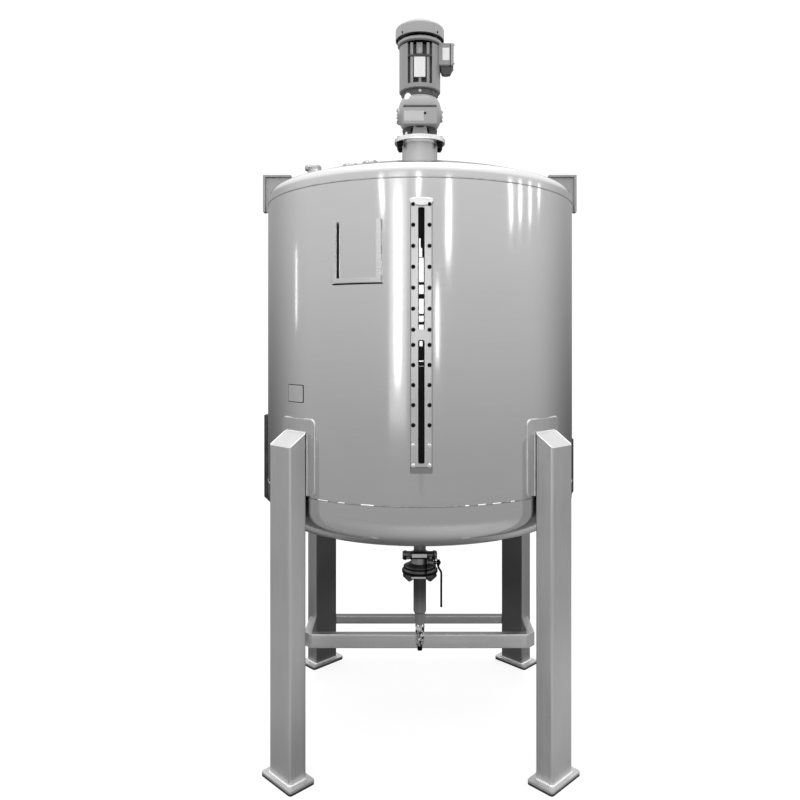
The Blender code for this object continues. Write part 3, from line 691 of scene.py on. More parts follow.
    def taper(self, centre: Pair, levels: Pair, share: float) -> "Solid":
        """Draw the form in towards an upright line, the more the farther from the first level.

        Args:
            centre: X and Y of the line.
            levels: level that stays as it is, and level that gets the full taper.
            share: share of the width that is left there.

        Returns:
            This piece.
        """
        for vert in self.form.verts:
            part = (vert.co.z - levels[0]) / (levels[1] - levels[0])
            scale = 1.0 + (share - 1.0) * part
            vert.co.x = centre[0] + (vert.co.x - centre[0]) * scale
            vert.co.y = centre[1] + (vert.co.y - centre[1]) * scale
        return self

    def round_edges(self, width: float, segments: int = 2, least: float = 35.0) -> "Solid":
        """Round the sharp edges.

        Args:
            width: width of the rounding.
            segments: steps of the rounding.
            least: smallest angle between faces, in degrees, that counts as sharp.

        Returns:
            This piece.
        """
        sharp = [edge for edge in self.form.edges if edge.calc_face_angle(0.0) > radians(least)]
        bevelled(self.form, sharp, width, segments, True)
        return self

    def cut(self, tool: "Solid") -> "Solid":
        """Cut this piece by another, which is used up.

        Args:
            tool: the form to take away.

        Returns:
            This piece.
        """
        holders = []
        for part in (self, tool):
            holders.append(stand("operand", part.mesh("operand")))
        modifier = holders[0].modifiers.new("cut", "BOOLEAN")
        modifier.operation = "DIFFERENCE"
        modifier.solver = "EXACT"
        modifier.object = holders[1]
        self.form = opened(baked(holders[0]))
        bpy.data.objects.remove(holders[1], do_unlink=True)
        return self

    def mesh(self, name: str) -> Mesh:
        """Give the piece as a mesh, which uses up its form.

        Args:
            name: the mesh's name.

        Returns:
            The mesh.
        """
        mesh = bpy.data.meshes.new(name)
        self.form.to_mesh(mesh)
        self.form.free()
        return mesh

    def dress(self, finish: Finish, node: str = "", body: Body = Body.TANK,
              smooth: float = 38.0, weighted: bool = True) -> None:
        """Turn the piece into a finished object on its body.

        Args:
            finish: the finish it gets.
            node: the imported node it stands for, if any.
            body: the body it rides on.
            smooth: angle of smooth shading, in degrees.
            weighted: whether large faces set the shading.
        """
        mesh = self.mesh(self.name)
        mesh.shade_smooth()
        mesh.set_sharp_from_angle(angle=radians(smooth))
        if weighted:
            holder = stand("weighting", mesh)
            holder.modifiers.new("weights", "WEIGHTED_NORMAL").keep_sharp = True
            mesh = baked(holder)
        seat(self.name, mesh, finish, node, body)


def close(part: bmesh.types.BMesh, first: Sequence[Any], last: Sequence[Any]) -> None:
    """Close a form between two loops of the same number of points.

    Args:
        part: the form.
        first: points of one end.
        last: points of the other end.
    """
    part.faces.new(first)
    part.faces.new(last)
    for k in range(len(first)):
        after = (k + 1) % len(first)
        part.faces.new((first[k], first[after], last[after], last[k]))


def bevelled(part: bmesh.types.BMesh, edges: Sequence[Any], width: float, segments: int,
             clamped: bool = False) -> None:
    """Round edges of a form in some segments, clamped if the roundings stop where they would meet."""
    bmesh.ops.bevel(part, geom=edges, offset=width, segments=segments, affect="EDGES", profile=0.5,
                    clamp_overlap=clamped)


def stand(name: str, data: Any) -> Object:
    """Put an object in the scene.

    Args:
        name: its name.
        data: its mesh, curve, light or camera.

    Returns:
        The object.
    """
    made = bpy.data.objects.new(name, data)
    bpy.context.scene.collection.objects.link(made)
    return made


def baked(holder: Object) -> Mesh:
    """Give an object's mesh with its modifiers applied, as new data, and take the object away.

    Args:
        holder: the object.

    Returns:
        The mesh.
    """
    bpy.context.view_layer.update()
    graph = bpy.context.evaluated_depsgraph_get()
    mesh = bpy.data.meshes.new_from_object(holder.evaluated_get(graph))
    holder.modifiers.clear()
    bpy.data.objects.remove(holder, do_unlink=True)
    return mesh


def opened(mesh: Mesh) -> bmesh.types.BMesh:
    """Give a mesh as a form, and take the mesh away.

    Args:
        mesh: the mesh.

    Returns:
        The form.
    """
    form = bmesh.new()
    form.from_mesh(mesh)
    bpy.data.meshes.remove(mesh)
    return form


def seat(name: str, mesh: Mesh, finish: Finish, node: str = "", body: Body = Body.TANK) -> None:
    """Put a finished mesh in the scene.

    Args:
        name: the piece's name.
        mesh: its mesh, in place.
        finish: its finish.
        node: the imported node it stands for, if any.
        body: the body it rides on.
    """
    mesh.name = name
    mesh.materials.clear()
    mesh.materials.append(finish.material())
    made = stand(name, mesh)
    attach(made, body.value)
    if node:
        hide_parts(node)


# ---- Geometry Nodes that make what repeats


class NodeMaker:
    """A Geometry Nodes tree with named inputs, baked to plain meshes."""

    label = "maker"
    inputs: dict[str, str] = {}

    def __init__(self) -> None:
        """Build the tree."""
        self.tree, given = node_group(
            self.label, "GeometryNodeTree", {"Geometry": "Geometry", **self.inputs, "Finish": "Material"},
            {"Geometry": "Geometry"})
        real = tap(self.tree, "GeometryNodeRealizeInstances", {"Geometry": self.wire(self.tree, given)})
        painted = tap(self.tree, "GeometryNodeSetMaterial", {"Geometry": real, "Material": given["Finish"]})
        put(self.tree, "NodeGroupOutput", {"Geometry": painted})

    def wire(self, tree: Tree, given: Any) -> Socket:
        """Add the nodes that make the shape from the sockets given, and give its geometry."""
        raise NotImplementedError

    def make(self, name: str, base: Mesh, finish: Finish, values: dict[str, Any],
             smooth: float = 0.0) -> None:
        """Run the tree on a base mesh and seat the plain result.

        Args:
            name: the piece's name.
            base: mesh of the points or lines that the tree follows.
            finish: its finish.
            values: sizes by input name.
            smooth: angle of smooth shading, in degrees, or 0 for flat.
        """
        holder = bpy.data.objects.new("repeat", base)
        modifier = holder.modifiers.new("repeat", "NODES")
        modifier.node_group = self.tree
        known = {item.name: item.identifier for item in self.tree.interface.items_tree
                 if item.in_out == "INPUT"}
        for label, value in {**values, "Finish": finish.material()}.items():
            modifier[known[label]] = value
        bpy.context.scene.collection.objects.link(holder)
        mesh = baked(holder)
        if smooth > 0.0:
            mesh.shade_smooth()
            mesh.set_sharp_from_angle(angle=radians(smooth))
        seat(name, mesh, finish)


class BeadMaker(NodeMaker):
    """Weld beads along lines, with the ripple of laid metal."""

    label = "weld_bead"
    inputs = {"Radius": "Float", "Pitch": "Float", "Ripple": "Float", "Sides": "Int"}
    samples = 4

    def wire(self, tree: Tree, given: Any) -> Socket:
        """Sweep a rippled round section along the lines.

        Args:
            tree: the tree.
            given: its input sockets.

        Returns:
            The bead's geometry.
        """
        line = tap(tree, "GeometryNodeMeshToCurve", {"Mesh": given["Geometry"]})
        step = calc(tree, "DIVIDE", given["Pitch"], float(self.samples))
        paced = tap(tree, "GeometryNodeResampleCurve", {"Curve": line, "Length": step}, mode="LENGTH")
        phase = calc(tree, "MULTIPLY", tap(tree, "GeometryNodeInputIndex"), 2 * pi / self.samples)
        swell = calc(tree, "MULTIPLY_ADD", calc(tree, "SINE", phase), given["Ripple"], 1.0)
        section = tap(tree, "GeometryNodeCurvePrimitiveCircle", {
            "Resolution": given["Sides"], "Radius": given["Radius"]})
        return tap(tree, "GeometryNodeCurveToMesh", {
            "Curve": paced, "Profile Curve": section, "Scale": swell, "Fill Caps": True})


class ScrewMaker(NodeMaker):
    """Hexagon screws or round rivets with washers, one on each point, aimed along the attribute aim."""

    label = "screw_field"
    inputs = {"Head Radius": "Float", "Head Height": "Float", "Sides": "Int", "Washer Radius": "Float",
              "Washer Height": "Float"}
    crown_share = 0.25
    crown_taper = 0.8
    washer_sides = 20

    def wire(self, tree: Tree, given: Any) -> Socket:
        """Make one screw and set it on every point.

        Args:
            tree: the tree.
            given: its input sockets.

        Returns:
            The screws' geometry.
        """
        def lift(shape: Socket, height: Socket) -> Socket:
            """Raise a shape by a height."""
            offset = tap(tree, "CombineXYZ", {"Z": height})
            return tap(tree, "GeometryNodeTransform", {"Geometry": shape, "Translation": offset})

        sides, radius, washer_high = given["Sides"], given["Head Radius"], given["Washer Height"]
        crown_high = calc(tree, "MULTIPLY", given["Head Height"], self.crown_share)
        shank_high = calc(tree, "SUBTRACT", given["Head Height"], crown_high)
        crown_radius = calc(tree, "MULTIPLY", radius, self.crown_taper)
        shank = tap(tree, "GeometryNodeMeshCylinder", {
            "Vertices": sides, "Radius": radius, "Depth": shank_high})
        crown = tap(tree, "GeometryNodeMeshCone", {
            "Vertices": sides, "Radius Top": crown_radius, "Radius Bottom": radius, "Depth": crown_high})
        washer = tap(tree, "GeometryNodeMeshCylinder", {
            "Vertices": self.washer_sides, "Radius": given["Washer Radius"], "Depth": washer_high})
        half_shank, half_washer = (calc(tree, "MULTIPLY", high, 0.5) for high in (shank_high, washer_high))
        joined = put(tree, "GeometryNodeJoinGeometry")
        for part in (lift(crown, calc(tree, "ADD", washer_high, shank_high)),
                     lift(shank, calc(tree, "ADD", half_shank, washer_high)), lift(washer, half_washer)):
            tree.links.new(part, joined.inputs[0])
        aim = tap(tree, "GeometryNodeInputNamedAttribute", {"Name": "aim"}, data_type="FLOAT_VECTOR")
        facing = tap(tree, "FunctionNodeAlignRotationToVector", {"Vector": aim}, axis="Z")
        return tap(tree, "GeometryNodeInstanceOnPoints", {
            "Points": given["Geometry"], "Instance": joined.outputs[0], "Rotation": facing})


class FinMaker(NodeMaker):
    """A row of upright cooling fins along X, centred on each point."""

    label = "fin_row"
    inputs = {"Count": "Int", "Spread": "Float", "Thickness": "Float", "Depth": "Float", "Height": "Float"}

    def wire(self, tree: Tree, given: Any) -> Socket:
        """Make a row of thin boxes and set it on every point.

        Args:
            tree: the tree.
            given: its input sockets.

        Returns:
            The fins' geometry.
        """
        size = tap(tree, "CombineXYZ", {
            "X": given["Thickness"], "Y": given["Depth"], "Z": given["Height"]})
        fin = tap(tree, "GeometryNodeMeshCube", {"Size": size})
        first = calc(tree, "MULTIPLY", given["Spread"], -0.5)
        step = calc(tree, "DIVIDE", given["Spread"], calc(tree, "SUBTRACT", given["Count"], 1.0))
        start, offset = (tap(tree, "CombineXYZ", {"X": along}) for along in (first, step))
        line = tap(tree, "GeometryNodeMeshLine", {
            "Count": given["Count"], "Start Location": start, "Offset": offset})
        row = tap(tree, "GeometryNodeInstanceOnPoints", {"Points": line, "Instance": fin})
        return tap(tree, "GeometryNodeInstanceOnPoints", {"Points": given["Geometry"], "Instance": row})


BEADS = BeadMaker()
SCREWS = ScrewMaker()
FINS = FinMaker()


def point_mesh(places: Sequence[Aimed]) -> Mesh:
    """Make a mesh of loose points that know where they aim.

    Args:
        places: position and direction of each point.

    Returns:
        The mesh.
    """
    mesh = bpy.data.meshes.new("points")
    mesh.from_pydata([place for place, _ in places], [], [])
    aim = mesh.attributes.new("aim", "FLOAT_VECTOR", "POINT")
    for item, (_, direction) in zip(aim.data, places):
        item.vector = direction
    return mesh


def line_mesh(lines: Sequence[Run]) -> Mesh:
    """Make a mesh of lines for weld beads.

    Args:
        lines: points of each line, and if it is closed.

    Returns:
        The mesh.
    """
    points: list[Triple] = []
    links: list[tuple[int, int]] = []
    for route, closed in lines:
        base = len(points)
        points += [tuple(point) for point in route]
        links += [(base + k, base + k + 1) for k in range(len(route) - 1)]
        if closed:
            links.append((len(points) - 1, base))
    mesh = bpy.data.meshes.new("lines")
    mesh.from_pydata(points, links, [])
    return mesh


def bead(name: str, lines: Sequence[Run], radius: float, pitch: float, finish: Finish = BEAD,
         ripple: float = 0.14) -> None:
    """Lay weld beads along lines, with ripples of one pitch that swell them by a share."""
    values = {"Radius": radius, "Pitch": pitch, "Ripple": ripple, "Sides": BEAD_SIDES}
    BEADS.make(name, line_mesh(lines), finish, values, smooth=60.0)


def screws(name: str, places: Sequence[Aimed], head: float, height: float, washer: float,
           finish: Finish = BLACKED, sides: int = 6, washer_height: float = 0.0015) -> None:
    """Set screws with washers.

    Args:
        name: the piece's name.
        places: position and direction of each screw.
        head: radius of the head.
        height: height of the head.
        washer: radius of the washer.
        finish: their finish.
        sides: sides of the head.
        washer_height: thickness of the washer.
    """
    SCREWS.make(name, point_mesh(places), finish, {
        "Head Radius": head, "Head Height": height, "Sides": sides, "Washer Radius": washer,
        "Washer Height": washer_height})


def label_rivets(name: str, plate: Window, front: float) -> None:
    """Rivet the four corners of a bare plate that faces the front.

    Args:
        name: the piece's name.
        plate: the plate's sides in X, then in Z.
        front: Y of its face.
    """
    left, right, low, high = plate
    inset = 0.004
    places = [((x, front, z), FRONT)
              for x in (left + inset, right - inset) for z in (low + inset, high - inset)]
    screws(name, places, 0.0018, 0.001, 0.0022, PLATE, 12, 0.0003)


def polar(azimuth: float, radius: float, height: float = 0.0) -> Triple:
    """Give the point at a radius and height in one direction from the tank's axis."""
    return tuple(Vector((radius * cos(azimuth), radius * sin(azimuth), height)))


def spread(count: int, first: float = 0.0) -> list[float]:
    """Give evenly spread angles, in radians, from a first one in degrees."""
    return [radians(first + 360 * k / count) for k in range(count)]


def radial(angles: Sequence[float], radius: float, level: float) -> list[Aimed]:
    """Give places on an upright face round the axis, aimed outwards."""
    return [(polar(angle, radius, level), polar(angle, 1.0)) for angle in angles]


def upright(angles: Sequence[float], radius: float, level: float, aim: Triple = UP) -> list[Aimed]:
    """Give places on a level face round the axis, aimed up or down."""
    return [(polar(angle, radius, level), aim) for angle in angles]


def circle(radius: float, height: float, steps: int = ROUND) -> list[Triple]:
    """Give the points of a level circle round the tank's axis."""
    return [polar(2 * pi * k / steps, radius, height) for k in range(steps)]


def drum(radius: float, low: float, high: float) -> Profile:
    """Give the profile of a plain round form."""
    return ((radius, low), (radius, high))


def wall(outer: float, inner: float, low: float, high: float) -> Profile:
    """Give the closed profile of a plain tube."""
    return [(outer, low), (outer, high), (inner, high), (inner, low)]


def disc(radius: float, low: float, high: float, edge: float = 0.002, bore: float = 0.0,
         top_edge: float | None = None) -> Profile:
    """Give the profile of a disc with chamfered edges.

    Args:
        radius: its radius.
        low: level of its underside.
        high: level of its top.
        edge: chamfer below, and above too unless top_edge says another.
        bore: radius of its bore, or 0.
        top_edge: chamfer above.

    Returns:
        (radius, height) points.
    """
    over = edge if top_edge is None else top_edge
    rim = [(radius - edge, low), (radius, low + edge), (radius, high - over), (radius - over, high)]
    return [(bore, low), *rim, (bore, high)] if bore else rim


def rounded(width: float, depth: float, corner: float, steps: int = 6) -> list[Pair]:
    """Give the outline of a rounded rectangle round the origin.

    Args:
        width: size along the first axis.
        depth: size along the second axis.
        corner: radius of its corners.
        steps: flats of each corner.

    Returns:
        Its points, anticlockwise.
    """
    outline = []
    for quarter, (right, up) in enumerate(((1, 1), (-1, 1), (-1, -1), (1, -1))):
        for k in range(steps + 1):
            angle = pi / 2 * (quarter + k / steps)
            outline.append((right * (width / 2 - corner) + corner * cos(angle),
                            up * (depth / 2 - corner) + corner * sin(angle)))
    return outline


def densify(route: Sequence[Triple], step: float, closed: bool = True) -> list[Triple]:
    """Split a route's long runs.

    Args:
        route: its points.
        step: longest run wanted.
        closed: whether its last point joins its first.

    Returns:
        More points on the same lines.
    """
    after = list(route[1:]) + ([route[0]] if closed else [])
    points = []
    for start, end in zip(route, after):
        count = max(1, ceil(dist(start, end) / step))
        points += [tuple(Vector(start).lerp(Vector(end), k / count)) for k in range(count)]
    return points if closed else points + [tuple(route[-1])]


def spline(route: Sequence[Triple], steps: int) -> list[Triple]:
    """Round a route off through its points.

    Args:
        route: its points.
        steps: new points for each run.

    Returns:
        Points on the smooth route.
    """
    ends = [Vector(route[0]), *(Vector(point) for point in route), Vector(route[-1])]
    points = []
    for a, b, c, d in zip(ends, ends[1:], ends[2:], ends[3:]):
        for k in range(steps):
            t = k / steps
            points.append(tuple(0.5 * (2 * b + (c - a) * t + (2 * a - 5 * b + 4 * c - d) * t ** 2
                                       + (3 * b - a - 3 * c + d) * t ** 3)))
    return points + [tuple(route[-1])]


# ---- the tank's parts


def dished_arc(outer: float, knuckle: float, crown: float, opening: float) -> Profile:
    """Give the outline of a dished head from its rim to its opening.

    Args:
        outer: radius at the rim.
        knuckle: radius of the tight bend.
        crown: radius of the dome.
        opening: radius where the outline ends.

    Returns:
        (radius, rise) points.
    """
    bends, flats = HEAD_STEPS
    inside = outer - knuckle
    lean = asin(inside / (crown - knuckle))
    drop = sqrt((crown - knuckle) ** 2 - inside ** 2)
    end = asin(opening / crown)
    points = [
        (inside + knuckle * cos(angle), knuckle * sin(angle))
        for angle in ((pi / 2 - lean) * k / bends for k in range(bends + 1))]
    points += [
        (crown * sin(angle), crown * cos(angle) - drop)
        for angle in (lean + (end - lean) * k / flats for k in range(1, flats + 1))]
    return points


@dataclass(frozen=True)
class Vessel:
    """Shell, its two dished heads and the seams between them."""

    radius: float = 0.7
    wall: float = 0.005
    low: float = 1.12
    high: float = 2.35
    joint: float = 0.0005
    bottom: Triple = (0.055, 0.12, 2.2)
    top: Triple = (0.025, 0.04, 2.05)
    outlet_bore: float = 0.0265
    drive_opening: float = 0.06
    window_width: float = 0.022
    windows: tuple[Pair, ...] = ((1.287, 1.742), (1.779, 2.232))
    seam_bead: float = 0.0022
    seam_steps: int = 720
    glint_arcs: Profile = ((-35.1, -30.9), (-27.0, -24.6), (-19.0, -14.7), (13.6, 14.9), (17.8, 20.4),
                             (23.0, 25.8), (29.6, 31.1))

    def build(self) -> None:
        """Build the shell, the heads and the seams."""
        inner, half = self.radius - self.wall, self.window_width / 2
        shell = Solid("vessel_shell").turn(wall(self.radius, inner, self.low, self.high), ROUND, closed=True)
        slots = Solid("window_slots")
        for low, high in self.windows:
            slots.span((-half, -self.radius - 0.05, low), (half, -inner + 0.05, high))
        shell.cut(slots).dress(POLISHED, "shell")
        self.head("vessel_bottom", self.bottom, self.low - self.joint, -1, self.outlet_bore, "bottom_head")
        self.head("vessel_top", self.top, self.high + self.joint, 1, self.drive_opening, "top_head")
        ring = self.radius - 0.55 * self.seam_bead
        for name, level in (("seam_bottom", self.low), ("seam_top", self.high)):
            seam = [(circle(ring, level, self.seam_steps), True)]
            bead(name, seam, self.seam_bead, 0.006, SEAM_METAL, 0.22)
        # Painted highlight: short beads of bright weld metal at listed arcs, repeated every quarter turn,
        # stand in for glints on the bottom seam.
        glints = [
            ([polar(radians(quarter + start + (end - start) * k / 8), ring, self.low) for k in range(9)],
             False) for quarter in (-90, 0, 90, 180) for start, end in self.glint_arcs]
        bead("seam_bottom_glints", glints, 1.45 * self.seam_bead, 0.006, CAP_METAL, 0.08)

    def head(self, name: str, form: Triple, rim: float, up: int, opening: float, node: str) -> None:
        """Build one dished head.

        Args:
            name: the piece's name.
            form: straight flange, knuckle radius and crown radius.
            rim: level of its rim.
            up: 1 for a head that rises, -1 for one that hangs.
            opening: radius of its opening.
            node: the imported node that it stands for.
        """
        flange, knuckle, crown = form
        outer, inner = (
            [(self.radius - inset, rim)] + [
                (radius, rim + up * (flange + rise))
                for radius, rise in dished_arc(self.radius - inset, knuckle - inset, crown - inset, opening)]
            for inset in (0.0, self.wall))
        Solid(name).turn(outer + inner[::-1], ROUND, closed=True).dress(POLISHED, node, weighted=False)

    def top_level(self, radius: float) -> float:
        """Give the level of the top head's outside.

        Args:
            radius: distance from the tank's axis.

        Returns:
            The level.
        """
        flange, knuckle, crown = self.top
        drop = sqrt((crown - knuckle) ** 2 - (self.radius - knuckle) ** 2)
        return self.high + self.joint + flange + sqrt(crown ** 2 - radius ** 2) - drop


@dataclass(frozen=True)
class SightStrip:
    """Bolted strip up the front with two long panes."""

    low: float = 1.248
    high: float = 2.258
    front: float = -0.7326
    back: float = -0.7163
    edge: float = 0.0045
    slot: float = 0.024
    cover_width: float = 0.0805
    cover_low: float = 1.272
    sill_back: float = -0.7195
    cap: Triple = (0.0455, 0.0155, 0.0175)
    cap_level: float = 2.253
    cap_front: float = 0.7372
    slot_corner: float = 0.006
    pane_front: float = -0.7223
    pocket: float = 0.0446
    screw_x: float = 0.03
    screw_levels: Profile = ((1.281, 1.724), (1.78, 2.243))
    screw_rows: int = 7

    def build(self, windows: Sequence[Pair]) -> None:
        """Build the strip.

        Args:
            windows: lower and upper level of each window.
        """
        half = self.cover_width / 2
        Solid.from_node("sight_base", "sight_frame").round_edges(0.0012).dress(SHADED, "sight_frame")
        cover = Solid("sight_cover_plate").span(
            (-half, self.front, self.cover_low), (half, self.back, self.high), self.edge, 4)
        # Painted shade: the sill under the cover gets a darker finish than the cover above it.
        under = self.cover_low - GAP
        sill = [(self.back, self.low), (self.sill_back, self.low), (self.front + 0.002, under),
                (self.back, under)]
        Solid("sight_sill").prism(sill, -half, half, ON_EDGE).round_edges(0.0015).dress(EAR)
        tools = Solid("sight_slots")
        for low, high in windows:
            facing = Matrix.Translation((0.0, 0.0, (low + high) / 2)) @ FRONTAL
            tools.prism(rounded(self.slot, high - low, self.slot_corner), 0.7, 0.76, facing)
        pockets = Solid("sight_pockets")
        panes = {name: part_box(name) for name in ("sight_glass_lower", "sight_glass_upper")}
        for low, high in panes.values():
            pockets.span((-self.pocket / 2, self.pane_front, low.z - GAP),
                         (self.pocket / 2, -0.7, high.z + GAP))
        cover.cut(tools).cut(pockets).dress(COVER, "sight_cover")
        for name, (low, high) in panes.items():
            Solid(name.replace("glass", "pane")).span(tuple(low), tuple(high), 0.0004, 2).dress(GLASS, name)
        wide, rise, fall = self.cap
        outline = []
        for turn in (pi * k / 18 for k in range(36)):
            up = sin(turn)
            outline.append((wide * cos(turn), rise * sqrt(up) if up > 0.0 else fall * up))
        facing = Matrix.Translation((0.0, 0.0, self.cap_level)) @ FRONTAL
        cap = Solid("sight_cap").prism(outline, 0.7005, self.cap_front, facing)
        cap.round_edges(0.004, 3, 50.0).dress(BRIGHT)
        rows = [low + (high - low) * k / (self.screw_rows - 1)
                for low, high in self.screw_levels for k in range(self.screw_rows)]
        # Painted highlight: the two lowest rows get bright turned metal and the rest black, though all the
        # screws are alike.
        for name, levels, finish in (("sight_screws", rows[2:], BLACKED),
                                     ("sight_screws_lit", rows[:2], RING)):
            places = [((x, self.front, level), FRONT)
                      for x in (-self.screw_x, self.screw_x) for level in levels]
            screws(name, places, 0.0066, 0.0052, 0.008, finish)


@dataclass(frozen=True)
class PlateHolder:
    """Three channels that hold a slide-in plate on the shell."""

    azimuth: float = radians(-110.4)
    width: float = 0.205
    low: float = 1.958
    high: float = 2.196
    shell: float = 0.7003
    proud: float = 0.0145
    sheet: float = 0.002
    lip: float = 0.019
    lip_depth: float = 0.0055

    def build(self) -> None:
        """Build the channels."""
        half, tall, middle = self.width / 2, self.high - self.low, (self.high + self.low) / 2
        outside = self.shell + self.proud
        lips = (outside - self.lip_depth, outside)
        holder = Solid("plate_channels")
        for side in (-1, 1):
            web, lip = ([(side * (half - wide / 2) + u, v) for u, v in rounded(wide, tall, *corner)]
                        for wide, corner in ((self.sheet, (0.0004, 1)), (self.lip, (0.003, 3))))
            holder.wrapped(web, (self.shell, outside), self.azimuth, middle, 2)
            holder.wrapped(lip, lips, self.azimuth, middle, 3, 0.0005)
        foot = rounded(self.width, self.sheet, 0.0004, 1)
        holder.wrapped(foot, (self.shell, outside), self.azimuth, self.low + self.sheet / 2, 24)
        lip = rounded(self.width, self.lip, 0.003, 3)
        holder.wrapped(lip, lips, self.azimuth, self.low + self.lip / 2, 24, 0.0005)
        holder.dress(BRIGHT, "plate_holder")
        # Painted shadow: a black strip along the foot of the lower channel.
        shadow_strip = rounded(self.width + 0.004, 0.004, 0.0004, 1)
        Solid("plate_channel_painted_shadow").wrapped(
            shadow_strip, (self.shell, self.shell + 0.006), self.azimuth, self.low - 0.0025, 24).dress(BLACKED)
        side = half + 0.001
        stitches = [
            ([polar(self.azimuth + s * side / self.shell, self.shell, self.low + tall * f + d)
              for d in (0.0, 0.008, 0.016, 0.024)], False)
            for s in (-1, 1) for f in (0.02, 0.45, 0.88)]
        bead("plate_channel_welds", stitches, 0.0018, 0.004)


@dataclass(frozen=True)
class LabelPlate:
    """Small bare plate with rivets, low on the left of the shell."""

    azimuth: float = radians(-136.0)
    level: float = 1.529
    width: float = 0.104
    height: float = 0.072
    shell: float = 0.7002
    thickness: float = 0.0012
    border: float = 0.003

    def build(self) -> None:
        """Build the backing, the plate and its rivets."""
        top = self.shell + self.thickness
        backing = rounded(self.width, self.height, 0.005)
        plate = rounded(self.width - 2 * self.border, self.height - 2 * self.border, 0.004)
        for name, outline, face, finish in (("label_backing", backing, top - 0.0005, BLACKED),
                                            ("label_plate", plate, top, PLATE)):
            Solid(name).wrapped(outline, (self.shell, face), self.azimuth, self.level).dress(finish)
        u, v = self.width / 2 - 0.009, self.height / 2 - 0.009
        places = [place for x, y in ((-u, -v), (-u, v), (u, -v), (u, v))
                  for place in radial([self.azimuth + x / top], top, self.level + y)]
        screws("label_rivets", places, 0.0024, 0.0012, 0.003, PLATE, 12, 0.0004)


